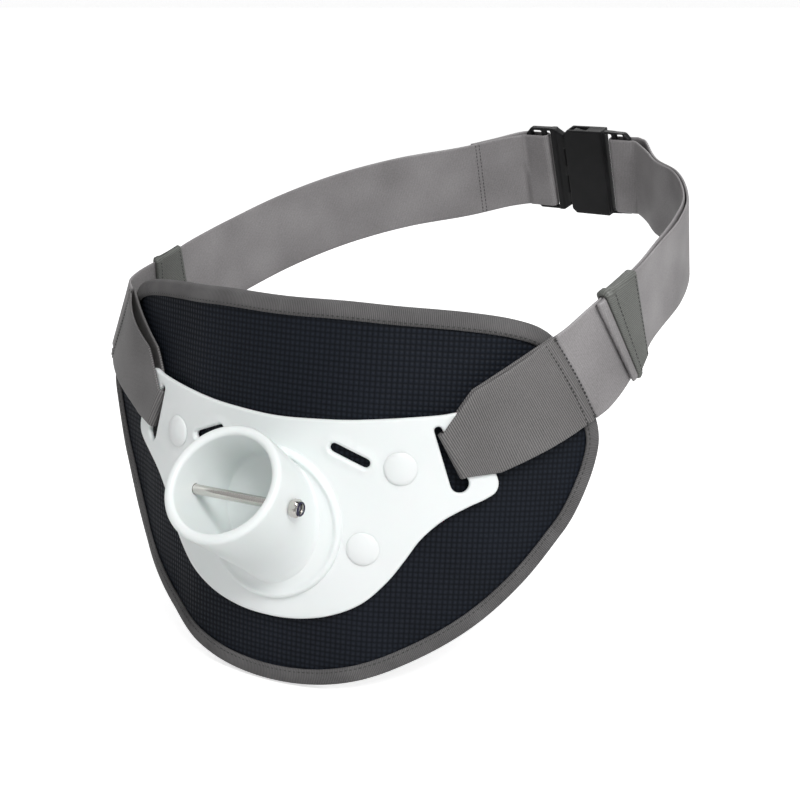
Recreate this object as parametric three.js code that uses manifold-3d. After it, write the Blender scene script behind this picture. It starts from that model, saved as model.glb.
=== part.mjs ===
// A fishing fighting belt: a padded apron bent round the front of the body, a moulded plate with
// a tilted gimbal cup for the rod butt, and a waist strap of webbing closed by a side release
// buckle at the back. Millimetres, +Z up, the wearer faces -Y.
// Every piece is worked out about the centre of the cup's flange, on the front face of the plate.
// The last group then moves the origin to the middle of the waist opening.
import * as THREE from "three";
import { mergeVertices } from "three/addons/utils/BufferGeometryUtils.js";
import Module from "manifold-3d";

const wasm = await Module();
wasm.setup();

// Gaps and stock sizes
const clearance = 0.3;
const webbingWidth = 50;
const webbingThickness = 1.5;
const layerGap = 0.4;

// The body curve that plate and pad follow: a cylinder that leans forward at the bottom.
// The pad's left wing stands off it, because the loop lies slack on that side.
const bodyRadius = 184.5;
const frontPitch = 7.4;
const leftFlare = 15;
const flareReach = 0.48;
const flarePower = 1.4;
const flareHeldBack = 0.75;

// Pad
const padHalfWidth = 176.6;
const padRise = 115.3;
const padDrop = 87.3;
const padThickness = 10;
const padEdgeThickness = 5;
const padEdgeDip = 1.2;
const padCrownWidth = 55;
const padEarFall = 2.8;
const bindingTape = 1.2;
const bindingWidth = 9;

// Plate
const plateHalfWidth = 117.5;
const plateRise = 65.2;
const plateDrop = 50.5;
const plateThickness = 3;
const rivetCapRadius = 8.5;
const rivetCapHeight = 2.2;
const rivetShankRadius = 2.2;
const ventLength = 22.2;
const ventWidth = 4.7;
const ventLean = 20.8;
const strapSlotTopRadius = 2;
const strapSlotBottomRadius = 4.7;

// Gimbal cup on its flange
const flangeRadius = 40.3;
const flangeHeight = 3.2;
const cupRadius = 30.8;
const cupWall = 5.2;
const cupTilt = 42.8;
const cupReach = 56;
const cupFoot = 3;
const cupFloorOut = 4.5;
const cupRimRound = 2.2;

// Cross pin through the cup, with its lock nut
const pinRadius = 2.5;
const pinDepth = 17.8;
const pinHeadRadius = 4.4;
const pinHeadThickness = 3;
const pinEndBeyondNut = 0.8;
const nutAcrossFlats = 8;
const nutThickness = 4.2;
const insertThickness = 0.9;
const insertRadius = 3.6;

// Waist loop, which lies in a plane that rises towards the back
const beltTilt = 17.5;
const loopHalfWidth = 156;
const loopDepth = 237;
const seamLean = 34.5;
const seamReach = 7;
const strapStart = 1;
const sewnTailLength = 54;
const spreadLength = 24;
const wingLift = 2.5;

// Keepers that hold the strap's free layer
const keeperStart = 32;
const keeperLength = 21;
const keeperWall = 1.2;
const hemThickness = 3.2;
const hemLength = 5;
const hemStep = 0.8;

// Side release buckle, measured along the strap from its middle
const buckleAngle = -11;
const buckleClimb = 4;
const straightLead = 3;
const strapSag = 1.3;
const buckleBarRadius = 2;
const maleEndBar = -36;
const maleTurnBar = -25;
const maleSlotEnd = -19;
const maleShoulder = -9.5;
const maleRail = 1.9;
const maleThickness = 5.4;
const prongTip = 13;
const prongWidth = 6.5;
const prongThickness = 5.2;
const buckleCorner = 4;
const femaleMouth = -8;
const femaleEnd = 20;
const femaleRail = 2.4;
const femaleThickness = 9.8;
const femaleWall = 2.2;
const femaleTurnBar = 27;
const femaleEndBar = 36;
const railThickness = 4.4;
const windowStart = -4;
const windowEnd = 8;

// The flare starts outside an ellipse, and is held back between two levels:
// shares of plateHalfWidth (aside) and plateRise (level)
const FLARE = { aside: 1.064, level: 1.76, heldFrom: 0.6, heldOver: 1.07 };

const PLATE_OUTLINE = [
  // aside: share of plateHalfWidth; level: share of plateRise above the flange, plateDrop below it
  { aside: 0.0, level: 0.842 },
  { aside: 0.201, level: 0.859 },
  { aside: 0.34, level: 0.877 },
  { aside: 0.477, level: 0.906 },
  { aside: 0.609, level: 0.938 },
  { aside: 0.74, level: 0.972 },
  { aside: 0.805, level: 0.996 },
  { aside: 0.842, level: 0.985 },
  { aside: 0.866, level: 0.925 },
  { aside: 0.925, level: 0.74 },
  { aside: 0.982, level: 0.545 },
  { aside: 0.999, level: 0.46 },
  { aside: 0.99, level: 0.392 },
  { aside: 0.951, level: 0.338 },
  { aside: 0.872, level: 0.265 },
  { aside: 0.769, level: 0.15 },
  { aside: 0.68, level: -0.012 },
  { aside: 0.619, level: -0.234 },
  { aside: 0.552, level: -0.46 },
  { aside: 0.446, level: -0.715 },
  { aside: 0.314, level: -0.88 },
  { aside: 0.16, level: -0.974 },
  { aside: 0.0, level: -1.0 },
];

const PAD_OUTLINE = [
  // aside: share of padHalfWidth; level: share of padRise above the flange, padDrop below it
  { aside: 0.0, level: 0.996 },
  { aside: 0.204, level: 1.0 },
  { aside: 0.382, level: 0.992 },
  { aside: 0.556, level: 0.983 },
  { aside: 0.688, level: 0.962 },
  { aside: 0.773, level: 0.928 },
  { aside: 0.82, level: 0.882 },
  { aside: 0.905, level: 0.703 },
  { aside: 0.982, level: 0.532 },
  { aside: 1.0, level: 0.43 },
  { aside: 0.992, level: 0.325 },
  { aside: 0.965, level: 0.2 },
  { aside: 0.921, level: 0.065 },
  { aside: 0.876, level: -0.035 },
  { aside: 0.776, level: -0.278 },
  { aside: 0.645, level: -0.522 },
  { aside: 0.5, level: -0.718 },
  { aside: 0.353, level: -0.866 },
  { aside: 0.19, level: -0.966 },
  { aside: 0.0, level: -1.0 },
];

// Loops between the pad's edge and its middle, as shares of the way out
const PAD_LOOPS = [0.9, 0.79, 0.65, 0.47, 0.25];

// The pad lies flat behind the plate, and falls back under the straps from here on outwards:
// shares of plateHalfWidth
const PAD_EAR = { from: 0.42, over: 0.26 };

const BINDING_FOLD = [
  // depth in from the outer edge, and how far the tape has rolled over there: share of padEdgeThickness
  { depth: 3, roll: 0 },
  { depth: 1.2, roll: 0.096 },
  { depth: 0.25, roll: 0.32 },
];

const STRAP_SLOT = {
  // centres of the slot's round ends, as shares of plateHalfWidth and plateRise
  top: { aside: 0.726, level: 0.851 },
  bottom: { aside: 0.831, level: 0.449 },
};

const WING = {
  // the strap between the ear and the pad's corner: shares of plate and webbing sizes
  slotWidth: 0.51,
  ear: { aside: 0.93, level: 0.86, lean: 22.5, width: 0.87 },
};

const SEAM = { aside: 0.862, level: 0.704 };
const RIVETS = {
  upper: { aside: 0.579, level: 0.543 },
  lower: { aside: 0.437, level: -0.145 },
};
const VENT = { aside: 0.358, level: 0.607 };

const RIGHT_ROUTE = [
  // aside: share of loopHalfWidth; back: share of loopDepth behind the corner seams
  // lift: share of webbingWidth above the plane through the seams
  { aside: 0.957, back: 0.137, lift: 0.178 },
  { aside: 0.99, back: 0.3, lift: 0.244 },
  { aside: 1.0, back: 0.463, lift: 0.21 },
  { aside: 0.968, back: 0.626, lift: 0.12 },
  { aside: 0.862, back: 0.79, lift: 0.05 },
  { aside: 0.755, back: 0.864, lift: 0.03 },
];
const LEFT_ROUTE = [
  { aside: -0.829, back: 0.169, lift: 0.026 },
  { aside: -0.755, back: 0.346, lift: 0.004 },
  { aside: -0.655, back: 0.519, lift: 0.0 },
  { aside: -0.515, back: 0.677, lift: -0.012 },
  { aside: -0.33, back: 0.818, lift: -0.042 },
  { aside: -0.105, back: 0.928, lift: -0.07 },
];
const BUCKLE_PLACE = { aside: 0.382, back: 1.003, lift: 0.032 };

// Sizes worked out from the driving dimensions
const pitch = THREE.MathUtils.degToRad(frontPitch);
const padFrontOut = -(plateThickness + clearance);
const bindingGap = bindingTape + clearance;
const strapOffBar = buckleBarRadius + clearance + webbingThickness / 2;
const outlineSamples = 80;
const cupFacets = 40;
const pinFacets = 20;
const rivetFacets = 18;
const turnSteps = 8;
const beltStep = 10;
const keeperSteps = 3;

// Solids and booleans
function geometryOf(points, triangles) {
  const position = new Float32Array(points.length * 3);
  points.forEach((p, i) => p.toArray(position, i * 3));
  let volume = 0;
  for (const [a, b, c] of triangles) {
    volume += points[a].dot(new THREE.Vector3().crossVectors(points[b], points[c]));
  }
  const index = volume < 0 ? triangles.map(([a, b, c]) => [a, c, b]) : triangles;
  const geometry = new THREE.BufferGeometry();
  geometry.setAttribute("position", new THREE.BufferAttribute(position, 3));
  geometry.setIndex(index.flat());
  return geometry;
}

function solid(geometry) {
  const bare = geometry.clone();
  bare.deleteAttribute("normal");
  bare.deleteAttribute("uv");
  const merged = mergeVertices(bare, 1e-4);
  return new wasm.Manifold(
    new wasm.Mesh({
      numProp: 3,
      vertProperties: new Float32Array(merged.attributes.position.array),
      triVerts: new Uint32Array(merged.index.array),
    }),
  );
}

function geometryFrom(body) {
  const made = body.getMesh();
  const geometry = new THREE.BufferGeometry();
  geometry.setAttribute("position", new THREE.BufferAttribute(made.vertProperties, 3));
  geometry.setIndex(new THREE.BufferAttribute(made.triVerts, 1));
  return geometry;
}

// A closed skin between the front and the back grid of one sheet
function sheetGeometry(front, back) {
  const rows = front.length;
  const columns = front[0].length;
  const points = [...front.flat(), ...back.flat()];
  const at = (i, j, side) => side * rows * columns + i * columns + j;
  const triangles = [];
  const quad = (a, b, c, d) => triangles.push([a, b, c], [a, c, d]);
  for (let i = 0; i < rows - 1; i++) {
    for (let j = 0; j < columns - 1; j++) {
      quad(at(i, j, 0), at(i + 1, j, 0), at(i + 1, j + 1, 0), at(i, j + 1, 0));
      quad(at(i, j, 1), at(i, j + 1, 1), at(i + 1, j + 1, 1), at(i + 1, j, 1));
    }
    quad(at(i, 0, 0), at(i, 0, 1), at(i + 1, 0, 1), at(i + 1, 0, 0));
    quad(at(i, columns - 1, 0), at(i + 1, columns - 1, 0), at(i + 1, columns - 1, 1), at(i, columns - 1, 1));
  }
  for (let j = 0; j < columns - 1; j++) {
    const last = rows - 1;
    quad(at(0, j, 0), at(0, j + 1, 0), at(0, j + 1, 1), at(0, j, 1));
    quad(at(last, j, 0), at(last, j, 1), at(last, j + 1, 1), at(last, j + 1, 0));
  }
  return geometryOf(points, triangles);
}

// A ring whose closed section is given at each step round it
function ringGeometry(sections) {
  const count = sections.length;
  const around = sections[0].length;
  const triangles = [];
  for (let i = 0; i < count; i++) {
    const next = (i + 1) % count;
    for (let j = 0; j < around; j++) {
      const after = (j + 1) % around;
      const a = i * around + j;
      const b = next * around + j;
      const c = next * around + after;
      const d = i * around + after;
      triangles.push([a, b, c], [a, c, d]);
    }
  }
  return geometryOf(sections.flat(), triangles);
}

// Rings from one pole to the other, as on a turned piece that follows a curved surface
function poleGeometry(firstPole, rings, lastPole) {
  const around = rings[0].length;
  const points = [firstPole, ...rings.flat(), lastPole];
  const triangles = [];
  for (let j = 0; j < around; j++) {
    const after = (j + 1) % around;
    triangles.push([0, 1 + after, 1 + j]);
    for (let i = 0; i < rings.length - 1; i++) {
      const a = 1 + i * around + j;
      const b = 1 + i * around + after;
      const c = a + around;
      const d = b + around;
      triangles.push([a, b, d], [a, d, c]);
    }
    const last = 1 + (rings.length - 1) * around;
    triangles.push([last + j, last + after, points.length - 1]);
  }
  return geometryOf(points, triangles);
}

// How far the body curve is eased out on the left, beyond an ellipse that takes in the plate.
// The strap's pull at the corner holds it back there.
function easedOut(aside, level) {
  const across = aside / plateHalfWidth;
  const up = level / plateRise;
  const beyond = Math.max(Math.hypot(across / FLARE.aside, up / FLARE.level) - 1, 0);
  const held = 1 - flareHeldBack * smooth((up - FLARE.heldFrom) / FLARE.heldOver);
  return leftFlare * smooth(-across) * held * (beyond / flareReach) ** flarePower;
}

// The body curve: aside is measured round it, level up it and out away from the body
function place(aside, level, out) {
  const turn = aside / bodyRadius;
  const radius = bodyRadius + out + easedOut(aside, level);
  const x = radius * Math.sin(turn);
  const y = bodyRadius - radius * Math.cos(turn);
  return new THREE.Vector3(x, y, level).applyAxisAngle(new THREE.Vector3(1, 0, 0), -pitch);
}

function smooth(value) {
  const t = THREE.MathUtils.clamp(value, 0, 1);
  return t * t * (3 - 2 * t);
}

function lerp(from, to, share) {
  return from + (to - from) * share;
}

// A share table made into a closed outline of evenly spaced points, right half then left half
function outline(table, halfWidth, rise, drop, samples) {
  const half = table.map((row) => {
    return new THREE.Vector3(row.aside * halfWidth, row.level * (row.level > 0 ? rise : drop), 0);
  });
  const left = half.slice(1, -1).reverse();
  const points = [...half, ...left.map((p) => new THREE.Vector3(-p.x, p.y, 0))];
  const curve = new THREE.CatmullRomCurve3(points, true, "centripetal");
  curve.arcLengthDivisions = 2000;
  return curve.getSpacedPoints(samples).slice(0, samples).map((p) => new THREE.Vector2(p.x, p.y));
}

// Each outline point moved inwards along its own normal
function inset(points, distance) {
  const count = points.length;
  return points.map((point, i) => {
    const before = points[(i + count - 1) % count];
    const after = points[(i + 1) % count];
    const along = after.clone().sub(before).normalize();
    return point.clone().add(new THREE.Vector2(along.y, -along.x).multiplyScalar(distance));
  });
}

function distanceTo(points, aside, level) {
  let best = Infinity;
  points.forEach((a, i) => {
    const b = points[(i + 1) % points.length];
    const edge = b.clone().sub(a);
    const toPoint = new THREE.Vector2(aside - a.x, level - a.y);
    const share = THREE.MathUtils.clamp(toPoint.dot(edge) / edge.lengthSq(), 0, 1);
    best = Math.min(best, toPoint.sub(edge.multiplyScalar(share)).length());
  });
  return best;
}

// A cutting prism whose walls stand square to the body curve
function prism(outlinePoints) {
  const clockwise = THREE.ShapeUtils.isClockWise(outlinePoints);
  const points = clockwise ? [...outlinePoints].reverse() : outlinePoints;
  const low = -4 * plateThickness;
  const high = bodyRadius * 0.3;
  const count = points.length;
  const vertices = [
    ...points.map((p) => place(p.x, p.y, low)),
    ...points.map((p) => place(p.x, p.y, high)),
  ];
  const triangles = [];
  for (const [a, b, c] of THREE.ShapeUtils.triangulateShape(points, [])) {
    triangles.push([a, c, b], [a + count, b + count, c + count]);
  }
  points.forEach((_, i) => {
    const next = (i + 1) % count;
    triangles.push([i, next, next + count], [i, next + count, i + count]);
  });
  return solid(geometryOf(vertices, triangles));
}

// A piece turned about the normal of the body curve; the profile holds [radius, out] pairs
function turnedOnBody(aside, level, profile, segments) {
  const ring = ([radius, out]) => {
    return Array.from({ length: segments }, (_, i) => {
      const angle = (2 * Math.PI * i) / segments;
      return place(aside + radius * Math.cos(angle), level + radius * Math.sin(angle), out);
    });
  };
  const top = place(aside, level, profile[0][1]);
  const bottom = place(aside, level, profile.at(-1)[1]);
  return poleGeometry(top, profile.slice(1, -1).map(ring), bottom);
}

// A bent slab between two distances from the body curve
function bentSlab(low, high, halfAngle, bottom, top, steps) {
  const shape = new THREE.Shape();
  for (let i = 0; i <= steps; i++) {
    const angle = lerp(-halfAngle, halfAngle, i / steps);
    const x = (bodyRadius + high) * Math.sin(angle);
    const y = bodyRadius - (bodyRadius + high) * Math.cos(angle);
    if (i === 0) shape.moveTo(x, y);
    else shape.lineTo(x, y);
  }
  for (let i = steps; i >= 0; i--) {
    const angle = lerp(-halfAngle, halfAngle, i / steps);
    shape.lineTo((bodyRadius + low) * Math.sin(angle), bodyRadius - (bodyRadius + low) * Math.cos(angle));
  }
  const geometry = new THREE.ExtrudeGeometry(shape, { depth: top - bottom, bevelEnabled: false });
  geometry.translate(0, 0, bottom);
  geometry.rotateX(-pitch);
  return solid(geometry);
}

// Pad: front and back faces at a distance from the pad's own edge
const padOuter = outline(PAD_OUTLINE, padHalfWidth, padRise, padDrop, outlineSamples);
const padEdge = inset(padOuter, bindingGap);

function padCrown(depth) {
  return smooth((depth - bindingWidth) / padCrownWidth);
}

function padFront(aside, depth) {
  const ear = smooth((Math.abs(aside) / plateHalfWidth - PAD_EAR.from) / PAD_EAR.over);
  return padFrontOut - padEarFall * ear - padEdgeDip * (1 - padCrown(depth));
}

function padBack(aside, depth) {
  return padFront(aside, depth) - lerp(padEdgeThickness, padThickness, padCrown(depth));
}

function pad() {
  const middle = new THREE.Vector2(0, (padRise - padDrop) / 2);
  const inner = inset(padEdge, bindingWidth + clearance);
  const scaled = PAD_LOOPS.map((share) => {
    return inner.map((p) => new THREE.Vector2(p.x * share, lerp(middle.y, p.y, share)));
  });
  const loops = [padEdge, inner, ...scaled];
  const face = (loop, faceOut) => {
    return loop.map((p) => {
      const depth = loop === padEdge ? 0 : distanceTo(padEdge, p.x, p.y);
      return place(p.x, p.y, faceOut(p.x, depth));
    });
  };
  const front = loops.map((loop) => face(loop, padFront));
  const back = loops.map((loop) => face(loop, padBack));
  const pole = (faceOut) => place(middle.x, middle.y, faceOut(0, padRise));
  return poleGeometry(pole(padFront), [...front.reverse(), ...back], pole(padBack));
}

// Binding: a folded tape round the edge of the pad
function padBinding() {
  const depths = [0, bindingTape, ...BINDING_FOLD.map((row) => row.depth), bindingWidth];
  const loops = new Map(depths.map((depth) => [depth, inset(padOuter, depth)]));
  const sections = padOuter.map((_, i) => {
    const point = (depth, faceOut, lift) => {
      const p = loops.get(depth)[i];
      return place(p.x, p.y, faceOut(p.x, 0) + lift);
    };
    const fold = [{ depth: bindingWidth, roll: 0 }, ...BINDING_FOLD];
    const frontFace = fold.map(({ depth, roll }) => {
      return point(depth, padFront, bindingGap - roll * padEdgeThickness);
    });
    const backFace = fold.reverse().map(({ depth, roll }) => {
      return point(depth, padBack, roll * padEdgeThickness - bindingGap);
    });
    return [
      ...frontFace,
      point(0, padFront, -padEdgeThickness / 2),
      ...backFace,
      point(bindingWidth, padBack, -clearance),
      point(bindingTape, padBack, -clearance),
      point(bindingTape, padFront, clearance),
      point(bindingWidth, padFront, clearance),
    ];
  });
  return ringGeometry(sections);
}

// Places on the plate given as shares of its size, mirrored for the left side
function platePoint(row, side) {
  return new THREE.Vector2(
    side * row.aside * plateHalfWidth,
    row.level * (row.level > 0 ? plateRise : plateDrop),
  );
}

// A slot with round ends of two radii, and the straight edge that faces the ear
function slotEdges(side) {
  const top = platePoint(STRAP_SLOT.top, 1);
  const bottom = platePoint(STRAP_SLOT.bottom, 1);
  const along = bottom.clone().sub(top);
  const sink = Math.asin((strapSlotBottomRadius - strapSlotTopRadius) / along.length());
  const heading = Math.atan2(along.y, along.x);
  const outwards = heading + Math.PI / 2 + sink;
  const inwards = heading - Math.PI / 2 - sink;
  const onEnd = (centre, radius, angle) => {
    return new THREE.Vector2(
      side * (centre.x + radius * Math.cos(angle)),
      centre.y + radius * Math.sin(angle),
    );
  };
  return { top, bottom, outwards, inwards, onEnd };
}

function strapSlot(side) {
  const { top, bottom, outwards, inwards, onEnd } = slotEdges(side);
  const steps = 6;
  const points = [];
  for (let i = 0; i <= steps; i++) {
    const angle = lerp(outwards, inwards + 2 * Math.PI, i / steps);
    points.push(onEnd(top, strapSlotTopRadius, angle));
  }
  for (let i = 0; i <= steps; i++) {
    points.push(onEnd(bottom, strapSlotBottomRadius, lerp(inwards, outwards, i / steps)));
  }
  return points;
}

function ventSlot(side) {
  const centre = platePoint(VENT, side);
  const half = (ventLength - ventWidth) / 2;
  const lean = THREE.MathUtils.degToRad(ventLean);
  const steps = 6;
  const points = [];
  for (const end of [1, -1]) {
    for (let i = 0; i <= steps; i++) {
      const angle = (end > 0 ? -Math.PI / 2 : Math.PI / 2) + (Math.PI * i) / steps;
      const x = end * half + (ventWidth / 2) * Math.cos(angle);
      const y = (ventWidth / 2) * Math.sin(angle);
      points.push(
        new THREE.Vector2(
          centre.x + side * (x * Math.cos(lean) + y * Math.sin(lean)),
          centre.y - x * Math.sin(lean) + y * Math.cos(lean),
        ),
      );
    }
  }
  return points;
}

// The cup's own frame: its axis leans up from the plate, and the rim lies at its end
const cupAngle = THREE.MathUtils.degToRad(cupTilt);
const cupAxis = new THREE.Vector3(0, -Math.cos(cupAngle), Math.sin(cupAngle));
const cupRim = new THREE.Vector3(0, 0, -cupFoot).addScaledVector(cupAxis, cupReach);
const plateNormal = place(0, 0, 1).normalize();

function cup() {
  const inner = cupRadius - cupWall;
  const deep = 2 * cupReach;
  const round = [];
  const corners = [
    { centre: cupRadius - cupRimRound, from: 0 },
    { centre: inner + cupRimRound, from: Math.PI / 2 },
  ];
  for (const { centre, from } of corners) {
    for (let i = 0; i <= 3; i++) {
      const angle = from + (Math.PI / 2) * (i / 3);
      const height = cupRimRound * (Math.sin(angle) - 1);
      round.push(new THREE.Vector2(centre + cupRimRound * Math.cos(angle), height));
    }
  }
  const profile = [
    new THREE.Vector2(inner, -deep),
    new THREE.Vector2(cupRadius, -deep),
    ...round,
    new THREE.Vector2(inner, -deep),
  ];
  const lean = new THREE.Quaternion().setFromUnitVectors(new THREE.Vector3(0, 1, 0), cupAxis);
  const wall = new THREE.LatheGeometry(profile, cupFacets);
  wall.applyQuaternion(lean).translate(...cupRim);
  const plug = new THREE.CylinderGeometry(inner + cupWall / 2, inner + cupWall / 2, deep, cupFacets);
  plug.applyQuaternion(lean).translate(...cupRim.clone().addScaledVector(cupAxis, -deep / 2));
  const block = new THREE.BoxGeometry(deep, deep, deep);
  block.rotateX(-pitch);
  block.translate(...plateNormal.clone().multiplyScalar(cupFloorOut - deep / 2));
  const floor = solid(plug).intersect(solid(block));
  const front = bentSlab(-plateThickness / 2, cupReach * 1.5, 0.5, -plateRise * 1.2, plateRise * 1.4, 12);
  return solid(wall).add(floor).intersect(front);
}

function flange() {
  const ringRadius = cupRadius + 2.5;
  const low = flangeHeight * 0.55;
  const profile = [
    [0, low],
    [ringRadius, low],
    [ringRadius + 1.6, flangeHeight * 0.86],
    [ringRadius + 3, flangeHeight],
    [flangeRadius - 2, flangeHeight * 0.86],
    [flangeRadius - 0.5, flangeHeight * 0.4],
    [flangeRadius, 0],
    [flangeRadius, -plateThickness / 2],
    [0, -plateThickness / 2],
  ];
  return solid(turnedOnBody(0, 0, profile, cupFacets));
}

function pinPlace() {
  return cupRim.clone().addScaledVector(cupAxis, -pinDepth);
}

// A cylinder or cone frustum along X from one place to another
function alongX(radius, from, to, segments = pinFacets) {
  const geometry = new THREE.CylinderGeometry(radius, radius, to - from, segments);
  geometry.rotateZ(Math.PI / 2);
  geometry.translate((from + to) / 2, 0, 0);
  return geometry;
}

function gimbalPlate() {
  const outer = outline(PLATE_OUTLINE, plateHalfWidth, plateRise, plateDrop, outlineSamples);
  const halfAngle = (plateHalfWidth / bodyRadius) * 1.1;
  let body = bentSlab(-plateThickness, 0, halfAngle, -plateDrop * 1.2, plateRise * 1.2, 32);
  body = body.intersect(prism(outer));
  for (const side of [1, -1]) {
    body = body.subtract(prism(strapSlot(side))).subtract(prism(ventSlot(side)));
    for (const row of Object.values(RIVETS)) {
      const centre = platePoint(row, side);
      const radius = rivetShankRadius + clearance;
      const reach = 2 * plateThickness;
      const hole = [[0, reach], [radius, reach], [radius, -reach], [0, -reach]];
      body = body.subtract(solid(turnedOnBody(centre.x, centre.y, hole, 12)));
    }
  }
  const bore = alongX(pinRadius + clearance, -2 * cupRadius, 2 * cupRadius);
  bore.translate(...pinPlace());
  const well = wellAboveFloor();
  return geometryFrom(body.add(flange()).subtract(well).add(cup()).subtract(solid(bore)));
}

// The cup's inside, cleared of the flange that would otherwise fill it
function wellAboveFloor() {
  const inner = cupRadius - cupWall;
  const deep = 2 * cupReach;
  const lean = new THREE.Quaternion().setFromUnitVectors(new THREE.Vector3(0, 1, 0), cupAxis);
  const core = new THREE.CylinderGeometry(inner, inner, deep, cupFacets);
  core.applyQuaternion(lean).translate(...cupRim.clone().addScaledVector(cupAxis, -deep / 2));
  const block = new THREE.BoxGeometry(deep, deep, deep);
  block.rotateX(-pitch);
  block.translate(...plateNormal.clone().multiplyScalar(cupFloorOut + deep / 2));
  return solid(core).intersect(solid(block));
}

function rivetCap(row, side) {
  const centre = platePoint(row, side);
  const dome = [0.5, 0.8, 0.96].map((share) => {
    return [rivetCapRadius * share, clearance + rivetCapHeight * Math.sqrt(1 - share * share)];
  });
  const seat = padFront(centre.x, padRise) + clearance;
  const profile = [
    [0, clearance + rivetCapHeight],
    ...dome,
    [rivetCapRadius, clearance],
    [rivetShankRadius, clearance],
    [rivetShankRadius, seat],
    [0, seat],
  ];
  return turnedOnBody(centre.x, centre.y, profile, rivetFacets);
}

// Cross pin and nut lie along X through the cup
function crossPin() {
  const headInner = -(cupRadius + clearance);
  const nutOuter = cupRadius + 2 * clearance + nutThickness + insertThickness + clearance;
  const shank = solid(alongX(pinRadius, headInner - 1, nutOuter + pinEndBeyondNut));
  const head = solid(alongX(pinHeadRadius, headInner - pinHeadThickness, headInner));
  const geometry = geometryFrom(shank.add(head));
  return geometry.translate(...pinPlace());
}

function lockNut() {
  const inner = cupRadius + clearance;
  const corner = nutAcrossFlats / 2 / Math.cos(Math.PI / 6);
  const hex = solid(alongX(corner, inner, inner + nutThickness, 6));
  const bore = solid(alongX(pinRadius + clearance, inner - 1, inner + nutThickness + 1));
  return geometryFrom(hex.subtract(bore)).translate(...pinPlace());
}

function lockNutInsert() {
  const inner = cupRadius + 2 * clearance + nutThickness;
  const ring = solid(alongX(insertRadius, inner, inner + insertThickness));
  const bore = solid(alongX(pinRadius + clearance, inner - 1, inner + insertThickness + 1));
  return geometryFrom(ring.subtract(bore)).translate(...pinPlace());
}

// Places on the pad and directions on the body curve, as used by the straps
function padPoint(row, side) {
  return new THREE.Vector2(side * row.aside * padHalfWidth, row.level * padRise);
}

function seamFrame(side) {
  const lean = THREE.MathUtils.degToRad(seamLean);
  const up = new THREE.Vector2(-side * Math.sin(lean), Math.cos(lean));
  const onward = new THREE.Vector2(side * Math.cos(lean), Math.sin(lean));
  return { centre: padPoint(SEAM, side), up, onward };
}

const strapColumns = [-1, -0.5, 0, 0.5, 1];
const bindingFrontOut = padFrontOut - padEarFall - padEdgeDip + bindingGap;
const wingBackOut = bindingFrontOut + 3 * clearance + webbingThickness / 2;
const wingFrontOut = wingBackOut + webbingThickness + clearance;

// Wing strap: from the corner seam down behind the ear, through its slot and back over the front
function wingStrap(side) {
  const edges = slotEdges(side);
  const edgeTop = edges.onEnd(edges.top, strapSlotTopRadius, edges.outwards);
  const edgeBottom = edges.onEnd(edges.bottom, strapSlotBottomRadius, edges.outwards);
  const slotMiddle = edgeTop.clone().lerp(edgeBottom, 0.5);
  const slotUp = edgeTop.clone().sub(edgeBottom).normalize();
  const away = new THREE.Vector2(side * Math.abs(slotUp.y), Math.abs(slotUp.x));
  const earLean = THREE.MathUtils.degToRad(WING.ear.lean);
  const ear = {
    centre: platePoint(WING.ear, side),
    up: new THREE.Vector2(-side * Math.sin(earLean), Math.cos(earLean)),
    half: (WING.ear.width * webbingWidth) / 2,
  };
  const seam = seamFrame(side);
  const seamEnd = seam.centre.clone().addScaledVector(seam.onward, seamReach / 2);
  const overEar = clearance + webbingThickness / 2;
  const underEar = -plateThickness - overEar;
  const slotHalf = (WING.slotWidth * webbingWidth) / 2;
  const between = (share, out) => {
    return {
      centre: ear.centre.clone().lerp(seamEnd, share),
      up: ear.up.clone().lerp(seam.up, share).normalize(),
      half: lerp(ear.half, webbingWidth / 2, share),
      out,
      face: [0, 1],
    };
  };
  const stations = [];
  for (const share of [1, 0.85, 0.6, 0.3, 0]) {
    const station = between(share, lerp(underEar, wingBackOut, smooth(share * 2)));
    stations.push({ ...station, face: [0, -1] });
  }
  const turnRadius = plateThickness / 2 + overEar;
  for (let i = 0; i <= turnSteps; i++) {
    const angle = (Math.PI * i) / turnSteps;
    const shift = -turnRadius * Math.sin(angle);
    stations.push({
      centre: slotMiddle.clone().addScaledVector(away, shift),
      up: slotUp,
      half: slotHalf,
      out: -plateThickness / 2 - turnRadius * Math.cos(angle),
      face: [-Math.sin(angle), -Math.cos(angle)],
    });
  }
  for (const share of [0, 0.25, 0.5, 0.75, 0.9, 1]) {
    const lift = wingLift * Math.sin(Math.PI * share);
    stations.push(between(share, lerp(overEar, wingFrontOut, share) + lift));
  }
  const skin = (outer) => {
    return stations.map((station) => {
      return strapColumns.map((column) => {
        const point = station.centre.clone().addScaledVector(station.up, column * station.half);
        point.addScaledVector(away, (outer * station.face[0] * webbingThickness) / 2);
        return place(point.x, point.y, station.out + (outer * station.face[1] * webbingThickness) / 2);
      });
    });
  };
  return sheetGeometry(skin(1), skin(-1));
}

// Belt plane: x across the body, back along the tilted plane, through both corner seams
const tilt = THREE.MathUtils.degToRad(beltTilt);
const beltBack = new THREE.Vector3(0, Math.cos(tilt), Math.sin(tilt));
const beltUp = new THREE.Vector3(0, -Math.sin(tilt), Math.cos(tilt));

function seamCentre3(side) {
  const seam = seamFrame(side);
  const point = seam.centre.clone().addScaledVector(seam.onward, seamReach / 2 + strapStart);
  return place(point.x, point.y, wingFrontOut);
}

function routePoint(row) {
  const seam = seamCentre3(1);
  return new THREE.Vector3(row.aside * loopHalfWidth, seam.y, seam.z)
    .addScaledVector(beltBack, row.back * loopDepth)
    .addScaledVector(beltUp, row.lift * webbingWidth);
}

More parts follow.
